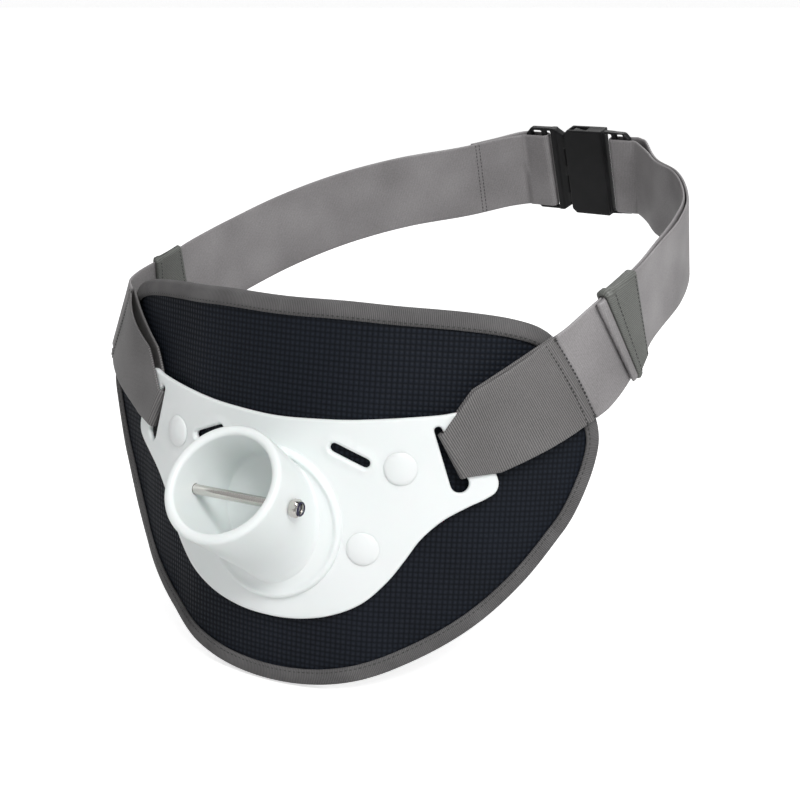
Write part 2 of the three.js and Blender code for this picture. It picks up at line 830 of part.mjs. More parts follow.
// The buckle's frame: along the strap, up, and towards the waist
const buckleCentre = routePoint(BUCKLE_PLACE);
const buckleTurn = THREE.MathUtils.degToRad(buckleAngle);
const buckleAlong = new THREE.Vector3(Math.cos(buckleTurn), 0, 0)
  .addScaledVector(beltBack, Math.sin(buckleTurn))
  .addScaledVector(beltUp, Math.tan(THREE.MathUtils.degToRad(buckleClimb)))
  .normalize();
const buckleUp = beltUp.clone().addScaledVector(buckleAlong, -beltUp.dot(buckleAlong)).normalize();
const buckleInwards = new THREE.Vector3().crossVectors(buckleAlong, buckleUp);

function onBuckle(along, up, inwards) {
  return buckleCentre.clone()
    .addScaledVector(buckleAlong, along)
    .addScaledVector(buckleUp, up)
    .addScaledVector(buckleInwards, inwards);
}

// The strap's middle line on one side, from the corner seam to the bar that it turns round
function beltLine(side) {
  const seam = seamFrame(side);
  const exitReach = seamReach / 2 + clearance + webbingWidth * 0.16;
  const exit = seam.centre.clone().addScaledVector(seam.onward, exitReach);
  const bar = side > 0 ? femaleTurnBar : maleTurnBar;
  const entry = (side > 0 ? femaleEndBar : maleEndBar) + side * (buckleBarRadius + 1);
  const rows = side > 0 ? RIGHT_ROUTE : LEFT_ROUTE;
  const curve = new THREE.CatmullRomCurve3(
    [
      seamCentre3(side),
      place(exit.x, exit.y, wingFrontOut),
      ...rows.map(routePoint),
      onBuckle(entry + side * straightLead, -strapSag, 0),
      onBuckle(entry, -strapSag, 0),
    ],
    false,
    "centripetal",
  );
  curve.arcLengthDivisions = 1500;
  const curveLength = curve.getLength();
  const seamEnd = (half) => {
    const point = seam.centre.clone().addScaledVector(seam.onward, seamReach / 2);
    point.addScaledVector(seam.up, half);
    return place(point.x, point.y, wingFrontOut);
  };
  const seamUp = seamEnd(webbingWidth / 2).sub(seamEnd(-webbingWidth / 2)).normalize();
  return { side, curve, curveLength, length: curveLength + Math.abs(bar - entry), entry, seamUp };
}

// A place on the strap at a distance from the seam: middle, up the width and away from the waist
function onBelt(line, distance) {
  const past = distance - line.curveLength;
  const share = THREE.MathUtils.clamp(distance / line.curveLength, 0, 1);
  const inBuckle = past >= 0;
  const middle = inBuckle
    ? onBuckle(line.entry - line.side * past, -strapSag, 0)
    : line.curve.getPointAt(share);
  const along = inBuckle
    ? buckleAlong.clone().multiplyScalar(-line.side)
    : line.curve.getTangentAt(share);
  const blend = smooth(distance / (webbingWidth * 1.4));
  const up = line.seamUp.clone().lerp(beltUp, blend);
  const squareness = smooth(distance / keeperStart);
  up.addScaledVector(along, -up.dot(along) * squareness).normalize();
  const away = new THREE.Vector3().crossVectors(along, up).normalize();
  if (away.dot(middle.clone().sub(waistCentre())) < 0) away.negate();
  return { middle, up, away };
}

function waistCentre() {
  return new THREE.Vector3(0, waistBehindPlate, waistAbovePlate);
}

// How far a layer stands off the middle line: spread apart at the buckle's bar
function spread(line, distance, far) {
  const blend = smooth((line.curveLength - distance) / spreadLength);
  return lerp(strapOffBar, far, blend);
}

// Distances from the seam at which every layer and the keeper have a station in common
function beltMarks(line) {
  const keeperEnd = keeperStart + keeperLength;
  const marks = [];
  for (const [from, to, step] of [
    [0, keeperStart, beltStep],
    [keeperStart, keeperEnd, keeperLength / keeperSteps],
    [keeperEnd, line.curveLength, beltStep],
    [line.curveLength, line.length, beltStep],
  ]) {
    const count = Math.round((to - from) / step);
    for (let i = 0; i < count; i++) marks.push(lerp(from, to, i / count));
  }
  return [...marks, line.length];
}

function beltStation(line, distance, offset, thickness) {
  const { middle, up, away } = onBelt(line, distance);
  return { middle: middle.addScaledVector(away, offset), up, away, thickness };
}

// Waist strap: in from the seam, round the buckle's bar, and back outside as a second layer
function waistStrap(side) {
  const line = beltLine(side);
  const marks = beltMarks(line);
  const stations = marks.map((distance) => {
    return beltStation(line, distance, -spread(line, distance, 0), webbingThickness);
  });
  const bar = side > 0 ? femaleTurnBar : maleTurnBar;
  for (let i = 1; i < turnSteps; i++) {
    const angle = (Math.PI * i) / turnSteps;
    const radial = buckleAlong.clone().multiplyScalar(-side * Math.sin(angle))
      .addScaledVector(buckleInwards, Math.cos(angle));
    stations.push({
      middle: onBuckle(bar, -strapSag, 0).addScaledVector(radial, strapOffBar),
      up: buckleUp.clone(),
      away: radial.clone().negate(),
      thickness: webbingThickness,
    });
  }
  const hemStart = side > 0 ? keeperStart - clearance : line.length - sewnTailLength;
  const far = webbingThickness + layerGap;
  for (const distance of [...marks.filter((mark) => mark > hemStart).reverse(), hemStart]) {
    stations.push(flipped(beltStation(line, distance, spread(line, distance, far), webbingThickness)));
  }
  if (side > 0) {
    const hemOffset = webbingThickness / 2 + layerGap + hemThickness / 2;
    for (const distance of [hemStart - hemStep, hemStart - hemLength]) {
      stations.push(flipped(beltStation(line, distance, hemOffset, hemThickness)));
    }
  }
  const skin = (outer) => {
    return stations.map(({ middle, up, away, thickness }) => {
      return [-1, 1].map((column) => {
        return middle.clone()
          .addScaledVector(up, (column * webbingWidth) / 2)
          .addScaledVector(away, (outer * thickness) / 2);
      });
    });
  };
  return sheetGeometry(skin(1), skin(-1));
}

// After the turn the webbing's outer face looks the other way
function flipped(station) {
  return { ...station, away: station.away.clone().negate() };
}

// Keeper: a flat sleeve round the strap's layers near the pad's corner
function keeper(side) {
  const line = beltLine(side);
  const outerLayer = side > 0 ? webbingThickness + layerGap : 0;
  const low = -(webbingThickness / 2 + clearance);
  const high = outerLayer + webbingThickness / 2 + clearance;
  const tall = webbingWidth / 2 + 2 * clearance;
  const corners = [
    { away: low, up: -tall, grow: [-1, -1] },
    { away: high, up: -tall, grow: [1, -1] },
    { away: high, up: tall, grow: [1, 1] },
    { away: low, up: tall, grow: [-1, 1] },
  ];
  const sections = corners.map((corner) => {
    const point = (i, wall) => {
      const distance = keeperStart + (keeperLength * i) / keeperSteps;
      const { middle, up, away } = onBelt(line, distance);
      return middle
        .addScaledVector(away, corner.away + corner.grow[0] * wall)
        .addScaledVector(up, corner.up + corner.grow[1] * wall);
    };
    const inside = Array.from({ length: keeperSteps + 1 }, (_, i) => point(i, 0));
    const outside = inside.map((_, i) => point(keeperSteps - i, keeperWall));
    return [...inside, ...outside];
  });
  return ringGeometry(sections);
}

// Buckle pieces are drawn flat, along the strap and up, then stood in the buckle's frame
function slab(points, holes, thickness) {
  const shape = new THREE.Shape(points.map(([x, y]) => new THREE.Vector2(x, y)));
  shape.holes = holes.map((hole) => new THREE.Path(hole.map(([x, y]) => new THREE.Vector2(x, y))));
  const geometry = new THREE.ExtrudeGeometry(shape, { depth: thickness, bevelEnabled: false });
  geometry.translate(0, 0, -thickness / 2);
  return solid(geometry);
}

function rectangle(left, right, low, high) {
  return [[left, low], [right, low], [right, high], [left, high]];
}

function barAlongUp(along, length) {
  const geometry = new THREE.CylinderGeometry(buckleBarRadius, buckleBarRadius, length, 16);
  geometry.translate(along, 0, 0);
  return solid(geometry);
}

function inBuckleFrame(body) {
  const geometry = geometryFrom(body);
  const frame = new THREE.Matrix4().makeBasis(buckleAlong, buckleUp, buckleInwards);
  frame.setPosition(buckleCentre);
  return geometry.applyMatrix4(frame);
}

const strapWindow = webbingWidth / 2 + strapSag + clearance;

function buckleMale() {
  const half = strapWindow + maleRail;
  const left = maleEndBar - buckleBarRadius;
  const neck = half - prongWidth - femaleWall - 1;
  const shoulderStart = maleShoulder - 1.5 * buckleCorner;
  const plate = [
    [left + buckleCorner, -half], [shoulderStart, -half], [maleShoulder, -half + buckleCorner],
    [maleShoulder, half - buckleCorner], [shoulderStart, half], [left + buckleCorner, half],
    [left, half - buckleCorner], [left, -half + buckleCorner],
  ];
  const windowHole = rectangle(maleEndBar + buckleBarRadius, maleSlotEnd, -strapWindow, strapWindow);
  const base = slab(plate, [windowHole], railThickness);
  const tongueOutline = rectangle(maleShoulder - 1, prongTip - prongWidth, -prongWidth / 2, prongWidth / 2);
  const tongue = slab(tongueOutline, [], prongThickness);
  const shoulder = slab(rectangle(maleSlotEnd, shoulderStart, -half, half), [], maleThickness);
  let body = base.add(shoulder).add(barAlongUp(maleTurnBar, 2 * strapWindow + 2)).add(tongue);
  for (const side of [1, -1]) {
    const inner = neck - prongWidth / 2;
    const outer = neck + prongWidth / 2;
    const arm = [
      [maleShoulder - 1, inner], [windowEnd, inner], [prongTip, inner + 1],
      [prongTip, outer], [windowEnd - 1, outer], [windowEnd - 1, half - 1.5],
      [windowStart + 2, half], [windowStart + 1, outer], [maleShoulder - 1, outer],
    ].map(([x, y]) => [x, side * y]);
    body = body.add(slab(side > 0 ? arm : arm.reverse(), [], prongThickness));
  }
  return inBuckleFrame(body);
}

function buckleFemale() {
  const half = strapWindow + femaleRail;
  const end = femaleEndBar + buckleBarRadius;
  const body = [
    [femaleMouth, -half + 3], [femaleMouth + 3, -half], [femaleEnd, -half],
    [femaleEnd, half], [femaleMouth + 3, half], [femaleMouth, half - 3],
  ];
  const cavityHalf = half - femaleWall;
  const cavity = slab(
    rectangle(femaleMouth - 1, prongTip + 1.5, -cavityHalf, cavityHalf),
    [],
    femaleThickness - 2 * femaleWall,
  );
  const windowCut = slab(
    rectangle(windowStart, windowEnd, -half - 1, half + 1),
    [],
    femaleThickness - 2 * femaleWall,
  );
  const frame = [
    [femaleEnd - 1, -half + 0.6], [end - 3, -half + 1.6], [end, -half + 5],
    [end, half - 5], [end - 3, half - 1.6], [femaleEnd - 1, half - 0.6],
  ];
  const openings = [
    rectangle(femaleEnd + 1, femaleEndBar - buckleBarRadius, -strapWindow, strapWindow),
  ];
  const rails = slab(frame, openings, railThickness);
  const solidBody = slab(body, [], femaleThickness).subtract(cavity).subtract(windowCut);
  return inBuckleFrame(solidBody.add(rails).add(barAlongUp(femaleTurnBar, 2 * strapWindow + 2)));
}

// The waist opening's middle, seen from the flange's centre
const waistBehindPlate = (plateThickness + padThickness + buckleCentre.y) / 2;
const waistAbovePlate = seamCentre3(1).z
  + (waistBehindPlate - seamCentre3(1).y) * Math.tan(tilt);

const finishes = {
  pad_cloth: { color: 0x171b22, roughness: 0.75, metalness: 0 },
  binding_tape: { color: 0x5b5858, roughness: 0.85, metalness: 0 },
  webbing: { color: 0x6a6663, roughness: 0.7, metalness: 0 },
  keeper_tape: { color: 0x62645f, roughness: 0.8, metalness: 0 },
  white_plastic: { color: 0xe9f0ee, roughness: 0.35, metalness: 0 },
  black_plastic: { color: 0x1c1d1f, roughness: 0.45, metalness: 0 },
  stainless: { color: 0xb9b4ab, roughness: 0.25, metalness: 1 },
  nylon_insert: { color: 0x15163a, roughness: 0.4, metalness: 0 },
};

const belt = new THREE.Group();
belt.position.set(0, -waistBehindPlate, -waistAbovePlate);

function addPiece(name, geometry, finish) {
  const mesh = new THREE.Mesh(geometry, new THREE.MeshStandardMaterial(finishes[finish]));
  mesh.name = name;
  belt.add(mesh);
}

addPiece("pad", pad(), "pad_cloth");
addPiece("pad_binding", padBinding(), "binding_tape");
addPiece("gimbal_plate", gimbalPlate(), "white_plastic");
addPiece("cross_pin", crossPin(), "stainless");
addPiece("lock_nut", lockNut(), "stainless");
addPiece("lock_nut_insert", lockNutInsert(), "nylon_insert");
for (const [sideName, side] of [["left", -1], ["right", 1]]) {
  for (const [rowName, row] of Object.entries(RIVETS)) {
    addPiece(`rivet_cap_${rowName}_${sideName}`, rivetCap(row, side), "white_plastic");
  }
  addPiece(`wing_strap_${sideName}`, wingStrap(side), "webbing");
  addPiece(`waist_strap_${sideName}`, waistStrap(side), "webbing");
  addPiece(`keeper_${sideName}`, keeper(side), "keeper_tape");
}
addPiece("buckle_male", buckleMale(), "black_plastic");
addPiece("buckle_female", buckleFemale(), "black_plastic");

const part = new THREE.Group();
part.add(belt);

export default part;
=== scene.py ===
# %% [markdown]
# # A fishing fighting belt
# A padded apron lies against the hips, a moulded plate with a gimbal cup takes the butt of the
# rod, and webbing runs round the waist to a side release buckle.
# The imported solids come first: they are the frame that every dressed piece has to fit.

# %% Load the frame
import math

import bmesh
import bpy
import numpy as np
from mathutils import Matrix, Vector
from mathutils.geometry import delaunay_2d_cdt


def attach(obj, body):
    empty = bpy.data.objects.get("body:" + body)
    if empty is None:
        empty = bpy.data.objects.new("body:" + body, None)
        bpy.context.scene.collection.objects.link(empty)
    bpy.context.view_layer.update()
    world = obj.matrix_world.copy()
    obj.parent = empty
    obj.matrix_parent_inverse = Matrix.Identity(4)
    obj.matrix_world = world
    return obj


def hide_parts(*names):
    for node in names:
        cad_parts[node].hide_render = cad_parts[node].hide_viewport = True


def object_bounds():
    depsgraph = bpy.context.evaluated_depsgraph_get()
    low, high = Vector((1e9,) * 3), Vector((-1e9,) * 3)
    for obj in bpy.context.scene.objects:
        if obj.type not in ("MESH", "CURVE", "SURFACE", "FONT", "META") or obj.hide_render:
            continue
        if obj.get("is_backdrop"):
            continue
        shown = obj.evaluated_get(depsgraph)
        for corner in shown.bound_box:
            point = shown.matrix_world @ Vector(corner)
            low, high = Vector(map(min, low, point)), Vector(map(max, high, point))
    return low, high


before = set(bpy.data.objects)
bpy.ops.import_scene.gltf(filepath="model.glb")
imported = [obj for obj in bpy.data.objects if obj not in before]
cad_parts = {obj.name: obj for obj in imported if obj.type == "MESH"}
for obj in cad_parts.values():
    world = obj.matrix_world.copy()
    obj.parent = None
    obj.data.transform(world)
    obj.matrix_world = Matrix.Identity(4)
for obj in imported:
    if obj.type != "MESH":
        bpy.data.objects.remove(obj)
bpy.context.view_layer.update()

# %% [markdown]
# ## The body curve
# Plate, pad and the straps' sewn ends all lie on one surface: a cylinder as wide as a waist,
# leaning forward at the bottom. A place on it is told by three numbers in millimetres: aside
# (round the curve), level (up it) and out (away from the body). One function turns them into a
# point, so that each piece can be drawn flat and then laid on the wearer.

# %% Places on the body curve
# CLEAR is the gap kept between pieces. An outline's half, rise and drop are its reach aside, up
# and down from the middle of the flange. FLARE shapes the pad's slack left wing.
CLEAR = 0.3
BODY_RADIUS = 184.5
PITCH = math.radians(7.4)
PLATE = {"half": 117.5, "rise": 65.2, "drop": 50.5, "thick": 3.0}
PAD = {"half": 176.6, "rise": 115.3, "drop": 87.3, "thick": 10.0, "edge": 5.0}
FLARE = {"size": 15.0, "wide": 1.064, "tall": 1.76, "reach": 0.48, "power": 1.4,
         "held": 0.75, "held_from": 0.6, "held_over": 1.07}


def smooth(value):
    t = np.clip(value, 0.0, 1.0)
    return t * t * (3 - 2 * t)


def lerp(a, b, share):
    return a + (b - a) * share


def eased_out(aside, level):
    """How far the slack left wing of the pad stands off the body."""
    across, up = aside / PLATE["half"], level / PLATE["rise"]
    beyond = np.maximum(np.hypot(across / FLARE["wide"], up / FLARE["tall"]) - 1, 0)
    held = 1 - FLARE["held"] * smooth((up - FLARE["held_from"]) / FLARE["held_over"])
    return FLARE["size"] * smooth(-across) * held * (beyond / FLARE["reach"]) ** FLARE["power"]


def place(aside, level, out):
    aside, level, out = np.broadcast_arrays(*map(np.asarray, (aside, level, out)))
    radius = BODY_RADIUS + out + eased_out(aside, level)
    turn = aside / BODY_RADIUS
    x, y = radius * np.sin(turn), BODY_RADIUS - radius * np.cos(turn)
    c, s = math.cos(PITCH), math.sin(PITCH)
    return np.stack([x, y * c + level * s, level * c - y * s], -1)


def lay(flat, out):
    """Lays flat points (aside, level) on the body curve, this far out."""
    return place(flat[..., 0], flat[..., 1], out)


print("the plate reaches from", place(0.0, 0.0, 0.0), "to", place(PLATE["half"], 30.0, 0.0).round(1))

# %% [markdown]
# ## Outlines and routes
# The plate's and the pad's outlines are short tables of shares, and the strap's route is a short
# table of places. A centripetal Catmull-Rom curve goes through each point without loops or
# overshoot, so a short table is enough. It is cut at even distances along its length.

# %% Curves through a table of points
PLATE_OUTLINE = [
    (0.0, 0.842), (0.201, 0.859), (0.34, 0.877), (0.477, 0.906), (0.609, 0.938), (0.74, 0.972),
    (0.805, 0.996), (0.842, 0.985), (0.866, 0.925), (0.925, 0.74), (0.982, 0.545),
    (0.999, 0.46), (0.99, 0.392), (0.951, 0.338), (0.872, 0.265), (0.769, 0.15),
    (0.68, -0.012), (0.619, -0.234), (0.552, -0.46), (0.446, -0.715), (0.314, -0.88),
    (0.16, -0.974), (0.0, -1.0),
]
PAD_OUTLINE = [
    (0.0, 0.996), (0.204, 1.0), (0.382, 0.992), (0.556, 0.983), (0.688, 0.962),
    (0.773, 0.928), (0.82, 0.882), (0.905, 0.703), (0.982, 0.532), (1.0, 0.43),
    (0.992, 0.325), (0.965, 0.2), (0.921, 0.065), (0.876, -0.035), (0.776, -0.278),
    (0.645, -0.522), (0.5, -0.718), (0.353, -0.866), (0.19, -0.966), (0.0, -1.0),
]


def unit(v):
    return v / np.linalg.norm(v, axis=-1, keepdims=True)


def running_length(line):
    steps = np.linalg.norm(np.diff(np.asarray(line), axis=0), axis=1)
    return np.concatenate([[0], np.cumsum(steps)])


def curve_through(points, closed, per_span=40):
    """A dense centripetal curve through the points, and how far along it each of them lies."""
    p = np.asarray(points, float)
    if closed:
        p = np.vstack([p[-1:], p, p[:2]])
    else:
        p = np.vstack([2 * p[0] - p[1], p, 2 * p[-1] - p[-2]])
    t = np.linspace(0, 1, per_span, endpoint=False)[:, None]
    spans = []
    for p0, p1, p2, p3 in zip(p, p[1:], p[2:], p[3:]):
        d0, d1, d2 = (math.sqrt(np.linalg.norm(d)) for d in (p1 - p0, p2 - p1, p3 - p2))
        m1 = ((p1 - p0) / d0 - (p2 - p0) / (d0 + d1) + (p2 - p1) / d1) * d1
        m2 = ((p2 - p1) / d1 - (p3 - p1) / (d1 + d2) + (p3 - p2) / d2) * d1
        c2, c3 = 3 * (p2 - p1) - 2 * m1 - m2, 2 * (p1 - p2) + m1 + m2
        spans.append(p1 + t * (m1 + t * (c2 + t * c3)))
    dense = np.vstack([*spans, spans[0][:1] if closed else p[-2][None]])
    return dense, running_length(dense)


def at_distances(dense, reached, distances):
    return np.stack([np.interp(distances, reached, column) for column in dense.T], -1)


def evenly(dense, reached, samples):
    """A closed curve cut at even distances."""
    return at_distances(dense, reached, np.linspace(0, reached[-1], samples, endpoint=False))


quarter = curve_through([(0, 1), (0.7, 0.7), (1, 0)], False)
print("a curve through three points of a quarter circle is", quarter[1][-1].round(2), "long")

# %% [markdown]
# ## Outlines and what lies inside them
# The plate, the pad and their openings are closed outlines. An outline moved inwards gives the
# next loop of the mesh, the distance to it shapes edges and crowns, and a count of crossings
# tells which points lie within it.

# %% Closed outlines
def outline(table, size, samples):
    """A closed outline of evenly spaced points, clockwise from the top."""
    half = [(a * size["half"], b * size["rise" if b > 0 else "drop"]) for a, b in table]
    points = half + [(-a, b) for a, b in half[-2:0:-1]]
    return evenly(*curve_through(points, True), samples)


def inset(points, distance):
    along = unit(np.roll(points, -1, 0) - np.roll(points, 1, 0))
    return points + np.stack([along[:, 1], -along[:, 0]], -1) * distance


def distance_to(points, edge):
    """How far each point is from a closed outline."""
    best = np.full(len(points), np.inf)
    for start, step in zip(edge, np.roll(edge, -1, 0) - edge):
        share = np.clip((points - start) @ step / (step @ step), 0, 1)[:, None]
        best = np.minimum(best, np.linalg.norm(points - start - share * step, axis=1))
    return best


def inside(points, loop):
    """Which points lie within a closed polygon."""
    odd = np.zeros(len(points), bool)
    for (ax, ay), (bx, by) in zip(loop, np.roll(loop, -1, 0)):
        if ay != by:
            crosses = (ay > points[:, 1]) != (by > points[:, 1])
            odd ^= crosses & (points[:, 0] < ax + (points[:, 1] - ay) * (bx - ax) / (by - ay))
    return odd


print("pad outline:", len(outline(PAD_OUTLINE, PAD, 400)), "points")

# %% [markdown]
# ## Where the waist loop runs
# The webbing leaves the pad's two upper corners, rises towards the back and closes behind the
# waist, where the buckle sits off centre. The frame of the buckle comes from the same table, so
# the straps enter it square. The middle of the waist opening is the origin of the whole model.

# %% The belt plane, the seams and the buckle's frame
# TILT is the slope of the belt plane and LEAN that of the sewn corners. KEEPER and TAIL are
# measured along the strap, BINDING from the pad's edge inwards. EAR_FALL and EDGE_DIP say how
# much lower the cover lies behind the plate's ears and at its edge. ROUTE holds shares of the
# loop: aside, back and lift.
WEB = {"wide": 50.0, "thick": 1.5, "gap": 0.4}
TILT, LEAN = math.radians(17.5), math.radians(34.5)
LOOP = {"half": 156.0, "deep": 237.0}
SEAM_AT, SEAM_REACH, STRAP_START = (0.862, 0.704), 7.0, 1.0
BUCKLE = {"at": (0.382, 1.003, 0.032), "turn": math.radians(-11), "rise": math.radians(4)}
KEEPER = {"start": 32.0, "long": 21.0, "wall": 1.2, "rows": (3.6, 19.0), "hem": {1: 1.1, -1: 0.5}}
TAIL = 54.0
PAD_FRONT = -(PLATE["thick"] + CLEAR)
EAR_FALL, EDGE_DIP, TAPE, BINDING = 2.8, 1.2, 1.2, 9.0
WING_BACK = PAD_FRONT - EAR_FALL - EDGE_DIP + TAPE + 4 * CLEAR + WEB["thick"] / 2
WING_FRONT = WING_BACK + WEB["thick"] + CLEAR
BELT_BACK = np.array([0, math.cos(TILT), math.sin(TILT)])
BELT_UP = np.array([0, -math.sin(TILT), math.cos(TILT)])
ROUTE = {
    1: [(0.957, 0.137, 0.178), (0.99, 0.3, 0.244), (1.0, 0.463, 0.21), (0.968, 0.626, 0.12),
        (0.862, 0.79, 0.05), (0.755, 0.864, 0.03)],
    -1: [(-0.829, 0.169, 0.026), (-0.755, 0.346, 0.004), (-0.655, 0.519, 0.0),
         (-0.515, 0.677, -0.012), (-0.33, 0.818, -0.042), (-0.105, 0.928, -0.07)],
}


def seam_frame(side):
    """Middle of the sewn corner, up its width and onward, all on the flat of the body curve."""
    centre = np.array([side * SEAM_AT[0] * PAD["half"], SEAM_AT[1] * PAD["rise"]])
    up = np.array([-side * math.sin(LEAN), math.cos(LEAN)])
    return centre, up, np.array([side * math.cos(LEAN), math.sin(LEAN)])


def past_seam(side, reach, across=0.0):
    centre, up, onward = seam_frame(side)
    return lay(centre + onward * reach + up * across, WING_FRONT)


strap_start = past_seam(1, SEAM_REACH / 2 + STRAP_START)


def route_point(aside, back, lift):
    start = np.array([aside * LOOP["half"], strap_start[1], strap_start[2]])
    return start + BELT_BACK * back * LOOP["deep"] + BELT_UP * lift * WEB["wide"]


buckle_centre = route_point(*BUCKLE["at"])
buckle_along = unit(np.array([math.cos(BUCKLE["turn"]), 0, 0])
                    + BELT_BACK * math.sin(BUCKLE["turn"]) + BELT_UP * math.tan(BUCKLE["rise"]))
buckle_up = unit(BELT_UP - buckle_along * (BELT_UP @ buckle_along))
buckle_in = np.cross(buckle_along, buckle_up)
waist_back = (PLATE["thick"] + PAD["thick"] + buckle_centre[1]) / 2
waist_up = strap_start[2] + (waist_back - strap_start[1]) * math.tan(TILT)
WAIST = np.array([0, waist_back, waist_up])
print("waist opening lies", WAIST.round(2), "mm from the flange; buckle at", buckle_centre.round(1))

# %% [markdown]
# ## Making a mesh and giving it a weave
# Each soft piece is a run of closed sections joined by quads. Every corner of a face also gets
# two distances in millimetres, along and across the cloth, as its UV. Weave, ribs and twill can
# then follow the tape round every bend, which a pattern fixed in space couldn't do.

# %% Mesh helpers
def to_frame(points):
    return (np.asarray(points) - WAIST) / 1000


def in_scene(name, data):
    piece = bpy.data.objects.new(name, data)
    bpy.context.scene.collection.objects.link(piece)
    return piece


def finished_mesh(piece):
    """A new mesh of the piece with its modifiers applied."""
    ready = piece.evaluated_get(bpy.context.evaluated_depsgraph_get())
    return bpy.data.meshes.new_from_object(ready)


def axes_at(spot, *axes):
    """The matrix of a place, in mm, with these three axes."""
    matrix = Matrix(np.stack(axes, 1).tolist()).to_4x4()
    matrix.translation = Vector(to_frame(spot))
    return matrix


def new_piece(name, points, faces, uvs=None):
    """A smooth mesh in the frame; uvs is one pair for each face corner, in face order."""
    mesh = bpy.data.meshes.new(name)
    mesh.from_pydata(to_frame(points).tolist(), [], faces)
    if uvs is not None:
        layer = mesh.uv_layers.new(name="weave")
        layer.data.foreach_set("uv", np.asarray(uvs, np.float32).ravel())
    mesh.shade_smooth()
    face_outwards(mesh)
    return in_scene(name, mesh)


def face_outwards(mesh):
    shape = bmesh.new()
    shape.from_mesh(mesh)
    if shape.calc_volume(signed=True) < 0:
        bmesh.ops.reverse_faces(shape, faces=shape.faces[:])
    shape.to_mesh(mesh)
    shape.free()


print("a piece is drawn in mm about the flange and stored in metres about the waist")

# %% [markdown]
# ## Skins over rows of points
# Almost every piece is a row of sections: a tape's sections end in caps or meet in a ring, and a
# cup or a dome closes in a point at both ends. Two functions make all of these skins.

# %% Skins from sections and rings
def lofted(name, sections, along=None, across=None, ring=False):
    """Closed sections in a row; ring joins the last to the first, else the ends are capped."""
    sections = np.asarray(sections)
    count, around = sections.shape[:2]
    faces, corners = [], []
    for i in range(count if ring else count - 1):
        n = (i + 1) % count
        for j in range(around):
            k = (j + 1) % around
            faces.append((i * around + j, n * around + j, n * around + k, i * around + k))
            corners += [(i, i, j), (i + 1, n, j), (i + 1, n, k), (i, i, k)]
    if not ring:
        for i, order in ((0, range(around)), (count - 1, range(around - 1, -1, -1))):
            faces.append(tuple(i * around + j for j in order))
            corners += [(i, i, j) for j in order]
    uvs = None if along is None else [(along[a], across[i][j]) for a, i, j in corners]
    return new_piece(name, sections.reshape(-1, 3), faces, uvs)


def between_poles(name, first, rings, last):
    """A closed skin from one point over a row of rings to another point."""
    around = len(rings[0])
    points = np.vstack([first[None], *rings, last[None]])
    end = 1 + (len(rings) - 1) * around
    faces = []
    for j in range(around):
        k = (j + 1) % around
        faces.append((0, 1 + k, 1 + j))
        faces += [(a + j, a + k, a + around + k, a + around + j) for a in range(1, end, around)]
        faces.append((end + j, end + k, len(points) - 1))
    return new_piece(name, points, faces)


def ring_angles(count):
    """The angles of a ring of evenly spaced points."""
    return np.linspace(0, 2 * math.pi, count, endpoint=False)


print("a ring of 8 points starts at", ring_angles(8)[:3].round(2), "radians")

# %% [markdown]
# ## Node helpers
# A finish is a small graph: a pattern in millimetres drives the colour, the roughness and the
# bump together, so that a thread is lighter, glossier and higher at the same place.

